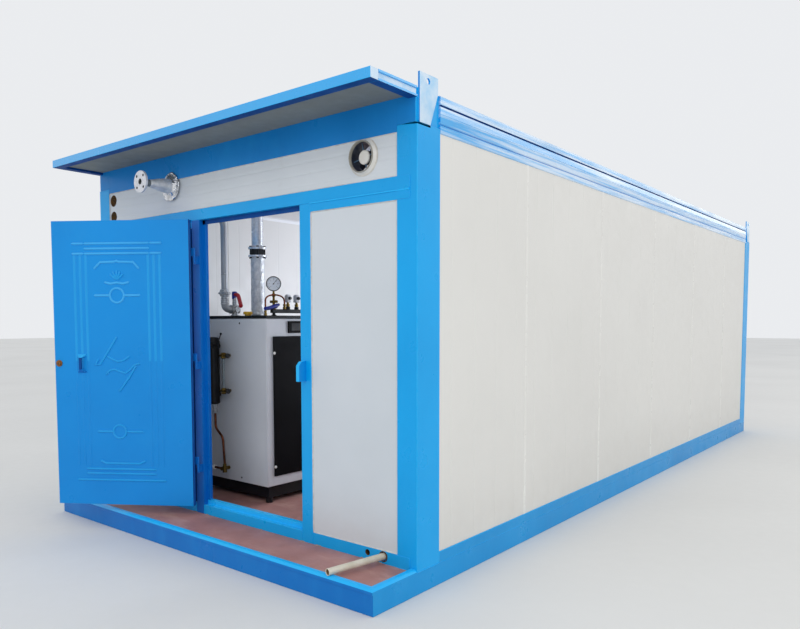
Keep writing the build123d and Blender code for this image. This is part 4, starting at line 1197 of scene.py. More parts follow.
# small fan of leaves below the arch
flower = []
for lean in (-0.84, -0.42, 0.0, 0.42, 0.84):
    flower.append([(0.486 + out * sin(lean), 1.765 + out * cos(lean)) for out in (0.012, 0.060)])
rings = [(0.485, 1.662, 0.050), (0.482, 0.715, 0.046)]
stamping = bmesh.new()
for face in (door["inner"], door["outer"]):
    for line in ornament + flower + uprights:
        points = [onPattern(d, face, z) for d, z in line]
        first = points[0] + (points[0] - points[1]).normalized() * door["bead"]
        last = points[-1] + (points[-1] - points[-2]).normalized() * door["bead"]
        tip = door["bead"] * door["beadEnd"]
        pressed = bmesh.new()
        addTube(pressed, [first] + points + [last], [tip] + [door["bead"]] * len(points) + [tip],
                sides=door["beadSides"], up=leafOut,
                flat=door["uprightFlat"] if line in uprights else door["beadFlat"])
        # crowns high on the leaf take the paler finish and lower ones a lesser one: painted highlight
        for side in pressed.faces:
            height = side.calc_center_median().z
            if line in uprights:
                side.material_index = 0 if height < door["plainBelow"] else 2
            else:
                side.material_index = 1 if height > door["paleAbove"] and line not in flower else 2
        merge(stamping, pressed)
    for d, z, radius in rings:
        angles = [a * pi / 18 for a in range(36)]
        middle = onPattern(d, face, z)
        points = [middle + leafAlong * (radius * cos(a)) + Vector((0, 0, radius * sin(a))) for a in angles]
        addTube(stamping, points, door["bead"] * door["ringBead"], sides=door["beadSides"],
                flat=door["beadFlat"], up=leafOut, closed=True, finish=1 if z > door["paleAbove"] else 2)
addPiece("doorStamping", stamping, [doorEnamel, doorRidge, doorRidgeLow],
         body="door", slot="door_paint", sharp=40)

# pull: a thin bar whose ends flare out into sloped feet
pull = {
    "along": 0.801, "low": 1.125, "high": 1.255, "foot": 0.032, "footHigh": 0.025, "reach": 0.030,
    "bar": 0.008, "barDeep": 0.010, "edge": 0.0008, "sink": 0.001,
    "footRoot": [(0, 0), (0, 0.012), (0.004, 0)],  # (out from the leaf, rise)
}
pullBm = bmesh.new()
barOut = (door["inner"] + pull["reach"] - pull["barDeep"], door["inner"] + pull["reach"])
# the upper foot takes the paler edge blue, a painted highlight; the lower foot the deep blue and the bar
# navy, painted shade
for end, inward, finish in ((pull["low"], 1, 3), (pull["high"], -1, 1)):
    tipZ = end + inward * pull["footHigh"]
    points = [(run, out, tipZ) for run in (-pull["bar"], pull["bar"]) for out in barOut]
    for run in (-pull["foot"], pull["foot"]):
        points += [(run, door["inner"] + out, end + inward * rise) for out, rise in pull["footRoot"]]
    addHull(pullBm, [onLeaf(pull["along"] + run, out, z) for run, out, z in points], finish)
softenEdges(pullBm, pull["edge"])
barLow, barHigh = pull["low"] + pull["footHigh"], pull["high"] - pull["footHigh"]
addBlock(pullBm, (pull["along"] - pull["bar"], barOut[0], barLow - pull["sink"]),
         (pull["along"] + pull["bar"], barOut[1], barHigh + pull["sink"]), 0, leafMatrix)
for face in pullBm.faces:
    if barLow < face.calc_center_median().z < barHigh:
        face.material_index = 2
addPiece("doorPull", pullBm, [doorEnamel, enamelEdge, navyCoat, revealBlue],
         body="door", stands=["door_pull"], slot="door_paint")

# lock: a bronze rosette and cylinder with a dark keyway, and the plate on the leaf's edge
lock = {
    "along": 0.969, "height": 1.190, "radius": 0.023, "reach": 0.014,
    "profile": [(1, 0), (1, 0.25), (0.93, 0.4), (0.72, 0.46), (0.68, 0.86), (0.6, 1), (0, 1)],
    "keyHalf": 0.0016, "keyLow": 0.009, "keyHigh": 0.004, "keySink": 0.001, "keyOut": 0.0005,
    "pin": [(0.0035, -0.0001), (0.0035, 0.0005), (0, 0.0005)],
    "plateHalf": 0.012, "plateLow": 1.105, "plateHigh": 1.275, "plateSink": 0.001, "plateOut": 0.002,
    "plateEdge": 0.0008, "hingeEdge": 0.001,
}
lockFace = door["inner"] + lock["reach"]
rosette = [(a * lock["radius"], b * lock["reach"]) for a, b in lock["profile"]]
turnedPiece("doorLock", [(rosette, onLeaf(lock["along"], door["inner"], lock["height"]), leafOut, 40)],
            [bronzeLock], body="door", stands=["door_lock"], slot="brass")
keyway = bmesh.new()
keyLow, keyHigh = lock["height"] - lock["keyLow"], lock["height"] + lock["keyHigh"]
addBlock(keyway, (lock["along"] - lock["keyHalf"], lockFace - lock["keySink"], keyLow),
         (lock["along"] + lock["keyHalf"], lockFace + lock["keyOut"], keyHigh), 0, leafMatrix)
addLathe(keyway, lock["pin"], onLeaf(lock["along"], lockFace, keyHigh), leafOut, 20)
addPiece("lockKeyway", keyway, [rubber], body="door", slot="bare_steel")
blockPiece("latchPlate", [(
    (door["end"] - lock["plateSink"], leafMiddle - lock["plateHalf"], lock["plateLow"]),
    (door["end"] + lock["plateOut"], leafMiddle + lock["plateHalf"], lock["plateHigh"]),
    lock["plateEdge"], leafMatrix)], stainless, body="door", slot="bare_steel")
# hinges take the deep blue: painted shade of the open leaf
copyPiece("frameHinges", "frame_hinges", lock["hingeEdge"], revealBlue, slot="blue_paint")
copyPiece("leafHinges", "leaf_hinges", lock["hingeEdge"], revealBlue, body="door", slot="door_paint")

# stops: an angle bar round the opening behind the closed leaf, deep blue at the sides and navy at the head,
# painted shade
stops = {
    "width": 0.028, "head": 0.031, "front": -3.440, "back": -3.400, "thick": 0.004, "sill": 0.222,
    "notch": 0.036,  # the lock-side bar is cut out this far from the lock, where the rosette passes
}
headBottom = headerLow[2]


# section of an angle bar as (in from the frame, depth)
def angleBar(width):
    stopFront, stopBack, thick = stops["front"], stops["back"], stops["thick"]
    return [(0, stopFront), (width, stopFront), (width, stopFront + thick), (thick, stopFront + thick),
            (thick, stopBack), (0, stopBack)]


stopBars = bmesh.new()
sideRuns = ((sillLow[0], 1, stops["sill"], headBottom),
            (sillHigh[0], -1, stops["sill"], lock["height"] - stops["notch"]),
            (sillHigh[0], -1, lock["height"] + stops["notch"], headBottom))
for x, inward, bottom, top in sideRuns:
    outline = [(x + inward * run, y, bottom) for run, y in angleBar(stops["width"])]
    addExtrusion(stopBars, outline, (0, 0, top - bottom))
outline = [(sillLow[0], y, headBottom - run) for run, y in angleBar(stops["head"])]
addExtrusion(stopBars, outline, (sillHigh[0] - sillLow[0], 0, 0), finish=1)
addPiece("doorStops", stopBars, [revealBlue, navyCoat], slot="blue_paint")

# keeper: a bent bracket with a sloped top on the lock jamb
keeper = {"drop": 0.030, "run": 0.022, "fall": 0.006, "edge": 0.0008}
keeperLow, keeperHigh = boxOf("door_keeper")
keeperBm = bmesh.new()
profile = [(keeperHigh[1], keeperLow[2]), (keeperLow[1], keeperLow[2]),
           (keeperLow[1], keeperHigh[2] - keeper["drop"]),
           (keeperLow[1] + keeper["run"], keeperHigh[2] - keeper["fall"]), (keeperHigh[1], keeperHigh[2])]
addExtrusion(keeperBm, [(keeperLow[0], y, z) for y, z in profile], (keeperHigh[0] - keeperLow[0], 0, 0))
softenEdges(keeperBm, keeper["edge"])
# the keeper takes the bright top blue, a painted highlight, and its side towards the door a deeper blue,
# painted shade
tintFaces(keeperBm, xAxis, 2)
addPiece("doorKeeper", keeperBm, [enamelTop, enamelTop, doorEnamel],
         stands=["door_keeper"], slot="blue_paint")
# near-black strip in the gap behind the hinges: painted shadow
hingeSeal = {"left": -0.398, "right": -0.377, "front": -3.475, "back": -3.461, "inset": 0.004, "edge": 0.003}
blockPiece("hingeSeal", [(
    (hingeSeal["left"], hingeSeal["front"], panelLow[2] + hingeSeal["inset"]),
    (hingeSeal["right"], hingeSeal["back"], panelHigh[2] - hingeSeal["inset"]), hingeSeal["edge"])],
    shadowNavy, slot="blue_paint")
print("floor and door dressed")

# wall fan: pale flared sleeve, dark bore, motor cap on four thin struts, five pitched blades
fan = {
    "outer": 0.095, "bore": 0.082, "front": -3.490, "length": 0.110, "lip": 0.0875, "stand": 0.027,
    "flare": 0.101, "shade": 0.017, "halo": 0.0055, "haloUneven": 0.22, "haloFlat": 0.55,
    "motor": 0.040, "motorStart": 0.030, "motorLength": 0.032,
    "struts": 4, "strutTurn": 12, "strutStart": 0.034, "strutWidth": 0.0045, "strutDeep": 0.008,
    "hub": 0.032, "hubStart": 0.066, "hubLength": 0.022, "blades": 5, "tip": 0.076, "pitch": 32, "twist": 9,
    "chord": 0.026, "belly": 0.008, "camber": 0.004, "bladeThick": 0.0022, "bladeRows": 9,
}
fanBase = Vector((fanX, fan["front"], fanZ))
bore, lip, flare, outer = fan["bore"], fan["lip"], fan["flare"], fan["outer"]
stand, shade, fanEnd = fan["stand"], fan["shade"], fan["length"]
boreEnd = fanEnd - 0.002
sleeve = [
    (bore, boreEnd), (bore, 0.005), (bore + 0.001, 0.001), (bore + 0.002, 0.0), (lip - 0.001, 0.0),
    (lip, 0.002), (lip + 0.002, 0.010), (flare - 0.003, stand - 0.004), (flare, stand),
    (outer, stand + 0.0012),
    (outer, boreEnd), (outer - 0.003, fanEnd), (bore + 0.002, fanEnd), (bore, boreEnd)]
turnedPiece("fanSleeve", [(sleeve, fanBase, yAxis, 64)], [fanPlastic],
            stands=["fan_housing"], slot="fan_white")
# the lip and the mouth of the bore take grey: painted shade where the sleeve turns in
lipRing = [
    (bore - 0.0008, shade + 0.001), (bore - 0.0008, 0.003), (bore + 0.001, -0.0006), (lip - 0.001, -0.0008),
    (lip + 0.0006, 0.0016), (lip + 0.0012, 0.006)]
turnedPiece("fanLip", [(lipRing, fanBase, yAxis, 64)], [fanRim], slot="fan_white", sharp=40)
# a blue-black lining deep in the bore: painted shade
lining = [(bore - 0.0003, shade), (bore - 0.0015, shade + 0.001), (bore - 0.0015, boreEnd - 0.002),
          (bore - 0.0003, boreEnd)]
motor, motorStart, motorEnd = fan["motor"], fan["motorStart"], fan["motorStart"] + fan["motorLength"]
motorBody = [(0, motorStart + 0.006), (motor - 0.001, motorStart + 0.006), (motor, motorStart + 0.010),
             (motor, motorEnd - 0.003), (motor - 0.003, motorEnd), (0, motorEnd)]
turnedPiece("fanBore", [(lining, fanBase, yAxis, 64), (motorBody, fanBase, yAxis, 48)],
            [fanDark], slot="fan_black")
motorCap = [(0, motorStart), (motor - 0.006, motorStart), (motor - 0.001, motorStart + 0.003),
            (motor, motorStart + 0.0095), (0, motorStart + 0.0095)]
turnedPiece("fanMotorCap", [(motorCap, fanBase, yAxis, 48)], [fanPlastic], slot="fan_white")
struts = []
for k in range(fan["struts"]):
    turn = Matrix.Translation(fanBase) @ Matrix.Rotation(radians(-fan["strutTurn"] - 90 * k), 4, "Y")
    struts.append(((motor - 0.003, fan["strutStart"], -fan["strutWidth"] / 2),
                   (bore + 0.001, fan["strutStart"] + fan["strutDeep"], fan["strutWidth"] / 2), 0.001, turn))
blockPiece("fanStruts", struts, strutGrey, slot="fan_black")
rotor = bmesh.new()
hub, hubStart, hubEnd = fan["hub"], fan["hubStart"], fan["hubStart"] + fan["hubLength"]
hubProfile = [(0, hubStart), (hub - 0.004, hubStart), (hub, hubStart + 0.004), (hub, hubEnd), (0, hubEnd)]
addLathe(rotor, hubProfile, fanBase, yAxis, 40)
root = hub - 0.003
for k in range(fan["blades"]):
    turn = Matrix.Translation(fanBase) @ Matrix.Rotation(2 * pi * k / fan["blades"], 4, "Y")
    rows = []
    for i in range(fan["bladeRows"]):
        share = i / (fan["bladeRows"] - 1)
        radius = root + share * (fan["tip"] - root)
        pitch = radians(fan["pitch"] - fan["twist"] * share)
        chord = fan["chord"] + fan["belly"] * sin(pi * share)
        row = []
        for s in (-0.5, -0.25, 0.0, 0.25, 0.5):
            bow = fan["camber"] * (1 - 4 * s * s)
            y = (hubStart + hubEnd) / 2 + s * chord * sin(pitch) - bow * cos(pitch)
            z = s * chord * cos(pitch) + bow * sin(pitch)
            row.append(rotor.verts.new(turn @ Vector((radius, y, z))))
        rows.append(row)
    faces = []
    for a, b in zip(rows, rows[1:]):
        faces += [rotor.faces.new([a[i], a[i + 1], b[i + 1], b[i]]) for i in range(4)]
    bmesh.ops.solidify(rotor, geom=faces, thickness=fan["bladeThick"])
addPiece("fanRotor", rotor, [fanDark], body="fan", stands=["fan_rotor"], slot="fan_black", sharp=35)
halo = bmesh.new()
addTube(halo, uprightRing(fanX, transomFace - wall["proud"], fanZ, flare, 64),
        unevenRadii(fan["halo"], fan["halo"] * fan["haloUneven"], 64, 0.4, (2.0, 0.0)),
        sides=12, flat=fan["haloFlat"], up=yAxis, closed=True)
addPiece("fanSealant", halo, [sealant], slot="white_panel", sharp=40)

# steam outlet: pale turned flange on a primed pipe, foil-wrapped wool at the wall
outlet = {
    "edge": 0.0012, "flangeBack": -3.703, "weldRing": 0.0245, "weld": 0.004, "weldUneven": 0.0008,
    "weldOut": 0.002, "crumple": 0.0045, "creases": 55, "tapeCrumple": 0.0014, "tapeCreases": 34,
    # profiles as (radius, distance out from the wall)
    "collar": [
        (0.050, 0.034), (0.056, 0.028), (0.064, 0.020), (0.074, 0.014), (0.084, 0.011), (0.092, 0.011),
        (0.0965, 0.008), (0.095, 0.004), (0.085, 0.002), (0.060, 0.001), (0.046, 0.001)],
    "tongue": [(0.046, 0.002), (0.046, -0.008)],
    "tape": [
        (0.0245, 0.178), (0.0262, 0.176), (0.0275, 0.168), (0.0300, 0.155), (0.0345, 0.135), (0.0400, 0.112),
        (0.0450, 0.090), (0.0490, 0.066), (0.0520, 0.045), (0.0545, 0.025)],
    "tearStart": 0.060, "tearRun": 0.035, "tearLow": 0.012, "tearTop": 0.006,
    "boltCircle": 0.055, "boltHole": 0.0088, "boltFace": -3.7185, "boltDeep": 0.006, "boltDish": 0.0002,
}
stub = solidCopy("steam_outlet", outlet["edge"])
for face in stub.faces:
    face.material_index = 0 if face.calc_center_median().y < outlet["flangeBack"] else 1
addTube(stub, uprightRing(stubX, outlet["flangeBack"] + outlet["weldOut"], stubZ, outlet["weldRing"], 40),
        unevenRadii(outlet["weld"], outlet["weldUneven"], 40, 0.9, (1, 1)), sides=10, closed=True, finish=1)
addPiece("steamStub", stub, [zincFlange, primedPipe], stands=["steam_outlet"], slot="flange_steel")


def crumple(depth, size):
    def shift(point):
        crease = noise.cell(point * size) - 0.5
        fold = noise.noise(point * size * 0.7) + 0.5 * noise.noise(point * size * 1.9)
        return depth * (0.35 * crease + 0.75 * fold)
    return shift


# the collar of foil is torn wider below on the left and curls up at its top
def tornEdge(point):
    out = Vector((point.x - stubX, 0, point.z - stubZ))
    if out.length < 1e-6:
        return 0.0
    share = max(0.0, out.length - outlet["tearStart"]) / outlet["tearRun"]
    lowLeft = max(0.0, (-out.x - 0.8 * out.z) / out.length / 1.28) ** 3
    top = max(0.0, out.z / out.length) ** 12
    torn = outlet["tearLow"] * lowLeft + outlet["tearTop"] * top
    return crumple(outlet["crumple"], outlet["creases"])(point) + share * torn


def outward(profile):
    return [(radius, -rise) for radius, rise in profile]


stubBase = (stubX, wallFace, stubZ)
turnedPiece("outletFoil", [(outward(outlet["collar"]), stubBase, yAxis, 56, 0, tornEdge),
                           (outward(outlet["tongue"]), stubBase, yAxis, 32)],
            [foil], stands=["outlet_lagging"], slot="foil", flat=True)
tapeFolds = crumple(outlet["tapeCrumple"], outlet["tapeCreases"])
turnedPiece("outletTape", [(outward(outlet["tape"]), stubBase, yAxis, 48, 0, tapeFolds)],
            [foilTape], slot="foil", sharp=60)
holePlug = [(outlet["boltHole"], 0), (outlet["boltHole"], outlet["boltDeep"]),
            (0, outlet["boltDeep"] + outlet["boltDish"])]
boltPlaces = []
for a in (radians(45), radians(135), radians(225), radians(315)):
    boltPlaces.append((stubX + outlet["boltCircle"] * cos(a), outlet["boltFace"],
                       stubZ + outlet["boltCircle"] * sin(a)))
turnedPiece("flangeHolePlugs", [(holePlug, at, yAxis, 24) for at in boltPlaces],
            [rubber], slot="flange_steel")

# drain pipe: cut square, a dark disc in its mouth as painted shade, rust round its hole; a spare hole beside
# it shows the core
drain = {
    "edge": 0.0006, "mouth": (1.278, -3.835, 0.1613), "run": (0.080, 0.385, 0.0037),
    "boreShade": [(0.0163, 0.005), (0.011, 0.007), (0, 0.0065)],
    "hole": (1.358, 0.165, 0.0275), "proud": 0.0005, "rust": 0.0035, "rustUneven": 0.0012,
    "spare": (1.240, 0.165), "core": [(0.0178, 0.0015), (0.0170, 0.004), (0.0168, 0.030), (0, 0.031)],
}
copyPiece("drainPipe", "drain_pipe", drain["edge"], pvc, slot="pvc")
turnedPiece("drainBoreShade", [(drain["boreShade"], drain["mouth"], drain["run"], 32)],
            [foamCore], slot="pvc", sharp=60)
holeX, holeZ, holeRadius = drain["hole"]
holeRust = bmesh.new()
addTube(holeRust, uprightRing(holeX, wallFace - drain["proud"], holeZ, holeRadius, 36),
        unevenRadii(drain["rust"], drain["rustUneven"], 36, 0.8, (4, 2)), sides=8, closed=True)
addPiece("drainHoleRust", holeRust, [foamCore], slot="blue_paint", sharp=60)
spareX, spareZ = drain["spare"]
turnedPiece("spareHoleFoam", [(drain["core"], (spareX, wallFace, spareZ), yAxis, 32)],
            [foamCore], slot="blue_paint", sharp=60)
print("fan, outlet and drain dressed")

# boiler: powder-coated cabinet with rounded edges, black top and plinth, black front with round screw caps
boiler = {
    "edge": 0.006, "lidOut": 0.004, "lidEdge": 0.003, "plinthEdge": 0.003, "lidTop": 1.525,
    "control": [  # the front and the display above it, each (low, high, edge)
        ((-0.110, -2.978, 0.331), (-0.098, -2.338, 1.371), 0.002),
        ((-0.110, -2.830, 1.394), (-0.098, -2.600, 1.484), 0.003)],
    "window": [((-0.0985, -2.800, 1.412), (-0.0968, -2.700, 1.468), 0.001)],
    "cap": [(0, 0.008), (0.0066, 0.00736), (0.011, 0.0032), (0.011, 0)],
    "capX": -0.0985, "capY": (-2.974, -2.342), "capZ": (0.402, 1.248),
    "key": [(0, 0.004), (0.008, 0.0035), (0.009, 0), (0.009, -0.001)],
    "keyX": -0.098, "keyY": (-2.672, -2.644, -2.616), "keyZ": 1.440,
    "screw": [(0, 0.004), (0.005, 0.0035), (0.0075, 0.001), (0.0075, 0)],
    "screwLeft": 0.05, "screwRight": 0.30, "screwInset": 0.035,
}
cabLow, cabHigh = boxOf("boiler_cabinet")
blockPiece("boilerCabinet", [(cabLow, cabHigh, boiler["edge"])], cabinetCoat,
           stands=["boiler_cabinet"], slot="cabinet_paint")
lidLow, lidHigh = boxOf("boiler_top")
lidOut = boiler["lidOut"]
blockPiece("boilerLid", [(
    (lidLow[0] - lidOut, lidLow[1] - lidOut, lidLow[2]),
    (lidHigh[0] + lidOut, lidHigh[1] + lidOut, lidHigh[2]),
    boiler["lidEdge"])], blackCoat, stands=["boiler_top"], slot="black_paint")
copyPiece("boilerPlinth", "boiler_plinth", boiler["plinthEdge"], blackCoat, slot="black_paint")
blockPiece("controlPanel", boiler["control"], panelFilm, stands=["boiler_control_panel"], slot="panel_black")
capPlaces = [(boiler["capX"], y, z) for y in boiler["capY"] for z in boiler["capZ"]]
turnedPiece("panelScrewCaps", [(boiler["cap"], at, xAxis, 28) for at in capPlaces],
            [fanPlastic], slot="cabinet_paint")
blockPiece("displayWindow", boiler["window"], rubber, slot="panel_black")
turnedPiece("displayKeys",
            [(boiler["key"], (boiler["keyX"], y, boiler["keyZ"]), xAxis, 24) for y in boiler["keyY"]],
            [switchShell], slot="switch_grey")
screwX = (cabLow[0] + boiler["screwLeft"], cabHigh[0] - boiler["screwRight"])
screwZ = (cabLow[2] + boiler["screwInset"], cabHigh[2] - boiler["screwInset"])
screwPlaces = [(x, cabLow[1], z) for x in screwX for z in screwZ]
turnedPiece("cabinetScrews", [(boiler["screw"], at, front, 18) for at in screwPlaces],
            [blackCoat], slot="black_paint")

# level column: black pipe with domed ends, a lever, brass gauge cocks and the glass between them
column = {
    "x": -0.660, "y": -3.102, "bottom": 0.847,
    "pipe": [
        (0, 0), (0.040, 0), (0.050, 0.008), (0.050, 0.454), (0.054, 0.456), (0.054, 0.484), (0.050, 0.486),
        (0.045, 0.508), (0.030, 0.514), (0, 0.514)],
    "arm": [(0.016, 0.03), (0.016, 0.062)], "armZ": (0.917, 1.291),
    "leverOut": 0.02, "lever": [(0.075, 1.300), (0.100, 1.330), (0.128, 1.385)], "leverBend": 0.01,
    "leverRadius": 0.004,
    "knob": [(0, -0.009), (0.006, -0.007), (0.009, 0), (0.006, 0.007), (0, 0.009)],
    "knobPlace": (0.129, 1.388),
    "clampLow": (0.045, -0.032, 1.285), "clampHigh": (0.085, -0.008, 1.310), "clampEdge": 0.002,
    "glassX": -0.530, "cockZ": (0.953, 1.222),
    "cockNut": [
        (0, -0.023), (0.014, -0.023), (0.020, -0.018), (0.020, -0.008), (0.013, -0.004), (0.013, 0.004),
        (0.020, 0.008), (0.020, 0.018), (0.014, 0.023), (0, 0.023)],
    "cockStem": [
        (0.011, 0.0), (0.011, 0.026), (0.017, 0.027), (0.017, 0.040), (0.011, 0.041), (0.011, 0.062)],
    "cockSpindle": [(0.008, -0.045), (0.008, -0.018), (0.008, 0.012), (0.008, 0.042)],
    "cockKnob": [(0, 0.064), (0.012, 0.063), (0.018, 0.058), (0.018, 0.046), (0.010, 0.040), (0.006, 0.036)],
    "glass": [(0.009, 0.022), (0.009, 0.247), (0.0068, 0.247), (0.0068, 0.022), (0.009, 0.022)],
}
cx, cy = column["x"], column["y"]
columnBm = bmesh.new()
addLathe(columnBm, column["pipe"], (cx, cy, column["bottom"]), zAxis, 48)
for z in column["armZ"]:
    addLathe(columnBm, column["arm"], (cx, cy, z), yAxis, 24)
leverY = cy - column["leverOut"]
addTube(columnBm, bentPath([(cx + run, leverY, z) for run, z in column["lever"]], column["leverBend"]),
        column["leverRadius"], sides=10)
addLathe(columnBm, column["knob"], (cx + column["knobPlace"][0], leverY, column["knobPlace"][1]), zAxis, 18)
clampLow, clampHigh = [(cx + x, cy + y, z) for x, y, z in (column["clampLow"], column["clampHigh"])]
addBlock(columnBm, clampLow, clampHigh, column["clampEdge"])
addPiece("levelColumn", columnBm, [blackCoat, blackCoat], stands=["level_column"], slot="black_paint")
cockPlaces = [(column["glassX"], cy, z) for z in column["cockZ"]]
cockRows = []
for at in cockPlaces:
    cockRows += [(column["cockNut"], at, zAxis, 6), (column["cockStem"], at, yAxis, 24),
                 (column["cockSpindle"], at, xAxis, 20)]
turnedPiece("gaugeCocks", cockRows, [agedBrass], stands=["sight_glass"], slot="brass", sharp=30)
turnedPiece("cockKnobs", [(column["cockKnob"], at, xAxis, 12) for at in cockPlaces],
            [rubber], slot="black_paint", sharp=35)
turnedPiece("sightTube", [(column["glass"], cockPlaces[0], zAxis, 28)], [glass], slot="brass")

# blow-down: copper tube from the column to a cock, a branch with a white cap
# places are (distance along X from the column, height)
blowDown = {
    "tube": 0.009, "bend": 0.03, "run": [(0.018, 0.790), (0.020, 0.662), (0.107, 0.596), (0.125, 0.386)],
    "branch": [(0.002, 0.352), (0.110, 0.352)],
    "union": [
        (0.012, 0.0), (0.019, 0.004), (0.019, 0.030), (0.015, 0.034), (0.015, 0.052),
        (0.02, 0.056), (0.02, 0.07), (0.012, 0.074)],
    "cock": [(0, -0.026), (0.017, -0.026), (0.017, 0.020), (0.013, 0.026), (0.013, 0.040), (0, 0.040)],
    "stem": [(0, -0.014), (0.014, -0.014), (0.014, 0.062), (0.011, 0.064)],
    "cap": [(0, -0.004), (0.014, -0.004), (0.017, 0.0), (0.017, 0.022), (0.012, 0.025)],
    "unionPlace": (0.018, 0.775), "cockPlace": (0.125, 0.352), "stemPlace": (0.100, 0.352),
    "capPlace": (-0.012, 0.352),
}


def byColumn(place):
    return cx + place[0], cy, place[1]


tubes = bmesh.new()
run = bentPath([byColumn(at) for at in blowDown["run"]], blowDown["bend"])
addTube(tubes, run, blowDown["tube"], sides=18)
addTube(tubes, [byColumn(at) for at in blowDown["branch"]], blowDown["tube"], sides=18)
addPiece("blowDownCopper", tubes, [copper], slot="copper")
turnedPiece("blowDownFittings", [
    (blowDown["union"], byColumn(blowDown["unionPlace"]), zAxis, 6, 1),
    (blowDown["cock"], byColumn(blowDown["cockPlace"]), zAxis, 24),
    (blowDown["stem"], byColumn(blowDown["stemPlace"]), yAxis, 24),
], [agedBrass, castSteel], stands=["drain_cock"], slot="brass", sharp=30)
turnedPiece("blowDownCap", [(blowDown["cap"], byColumn(blowDown["capPlace"]), xAxis, 28)],
            [fanPlastic], slot="cabinet_paint")
print("boiler dressed")

# steam valve: cast body with clamp rings, a steel bonnet and a red sleeved lever with a blue button
valve = {
    "place": (-0.603, -2.927, 1.575),
    "foot": [(0.034, 0), (0.034, 0.006), (0.024, 0.010), (0.024, 0.050)],
    "body": [
        (0.024, -0.044), (0.034, -0.042), (0.034, -0.026), (0.029, -0.022), (0.029, 0.012), (0.034, 0.016),
        (0.034, 0.028), (0, 0.030)],
    "bonnet": [(0.030, -0.010), (0.030, 0.018), (0.020, 0.022), (0.020, 0.040), (0.012, 0.042)],
    "spindle": [(0.008, 0.040), (0.008, 0.098), (0.006, 0.100), (0, 0.100)],
    "cross": [(0, -0.034), (0.022, -0.034), (0.024, -0.031), (0.024, 0.030), (0.022, 0.034), (0, 0.034)],
    "hub": [(0.0081, 0.001), (0.0200, 0.0), (0.0200, 0.030), (0.014, 0.066), (0.0081, 0.066)], "hubZ": 1.618,
    "leverZ": 1.690, "lever": [(-0.012, 0.0), (0.040, 0.0), (0.074, -0.090)], "leverBend": 0.026,
    "sleeve": 0.0185, "sleeveFlat": 0.8, "sleeveUp": (0.35, 0, 1),
    "button": [(0.020, -0.034), (0.021, -0.014), (0.021, 0.014), (0.016, 0.024), (0, 0.026)],
    "buttonX": -0.004,
}
vx, vy, vz = valve["place"]
leverZ = valve["leverZ"]
turnedPiece("steamValve", [
    (valve["foot"], (vx, vy, boiler["lidTop"]), zAxis, 32), (valve["body"], valve["place"], yAxis, 40),
    (valve["bonnet"], valve["place"], zAxis, 32), (valve["spindle"], valve["place"], zAxis, 20),
    (valve["cross"], valve["place"], xAxis, 32),
], [castSteel], stands=["steam_valve"], slot="valve_steel")
leverBm = bmesh.new()
addLathe(leverBm, valve["hub"], (vx, vy, valve["hubZ"]), zAxis, 28, 1)
handle = bentPath([(vx + run, vy, leverZ + rise) for run, rise in valve["lever"]], valve["leverBend"])
addTube(leverBm, handle, valve["sleeve"], sides=18, flat=valve["sleeveFlat"], up=valve["sleeveUp"])
addPiece("valveLever", leverBm, [redVinyl, castSteel],
         body="valve_handle", stands=["steam_valve_lever"], slot="lever_red", sharp=30)
turnedPiece("leverButton", [(valve["button"], (vx + valve["buttonX"], vy, leverZ), zAxis, 24)],
            [blueVinyl], body="valve_handle", slot="lever_red")

# riser: pickled pipe with a union nut, a screwed elbow and a weld ring, leaning over to the wall at its top
riser = {
    "x": -0.603, "y": -3.025, "radius": 0.024, "outletZ": 2.440, "endY": -3.412, "bend": 0.10, "lean": 65,
    "elbow": 0.027, "elbowBend": 0.048, "elbowStart": 0.044, "elbowRise": 0.07, "overlap": 0.05, "steps": 12,
    "union": [
        (0.024, -0.029), (0.033, -0.027), (0.036, -0.014), (0.046, -0.010), (0.047, 0.0), (0.044, 0.006),
        (0.036, 0.010), (0.034, 0.026), (0.024, 0.029)], "unionZ": 1.700,
    "threads": ((1.618, 0.0300), (1.632, 0.0295), (1.646, 0.0300), (1.660, 0.0295)),
    "weldRing": [(0.024, -0.004), (0.0265, -0.002), (0.0268, 0.001), (0.024, 0.004)], "weldZ": 1.845,
}
rx, ry, bend, lean = riser["x"], riser["y"], riser["bend"], radians(riser["lean"])
elbow = bentPath([(rx, vy - riser["elbowStart"], vz), (rx, ry, vz), (rx, ry, vz + riser["elbowRise"])],
                 riser["elbowBend"], riser["steps"])
straight = (ry - riser["endY"] - bend * (1 - cos(lean))) / sin(lean)
bendStart = riser["outletZ"] - straight * cos(lean) - bend * sin(lean)
upward = [(rx, ry, vz + riser["overlap"])]
for i in range(riser["steps"] + 1):
    a = i / riser["steps"] * lean
    upward.append((rx, ry - bend + bend * cos(a), bendStart + bend * sin(a)))
upward.append((rx, riser["endY"], riser["outletZ"]))
riserBm = bmesh.new()
addTube(riserBm, elbow, riser["elbow"], sides=24)
addTube(riserBm, upward, riser["radius"], sides=24)
addPiece("steamRiser", riserBm, [dullPipe], stands=["steam_riser"], slot="stainless", sharp=30)
unionRows = [(riser["union"], (rx, ry, riser["unionZ"]), zAxis, 8),
             (riser["weldRing"], (rx, ry, riser["weldZ"]), zAxis, 28)]
for z, size in riser["threads"]:
    thread = [(0.024, -0.005), (size, -0.004), (size + 0.001, 0), (size, 0.004), (0.024, 0.005)]
    unionRows.append((thread, (rx, ry, z), zAxis, 28))
turnedPiece("riserUnion", unionRows, [castSteel], slot="valve_steel")

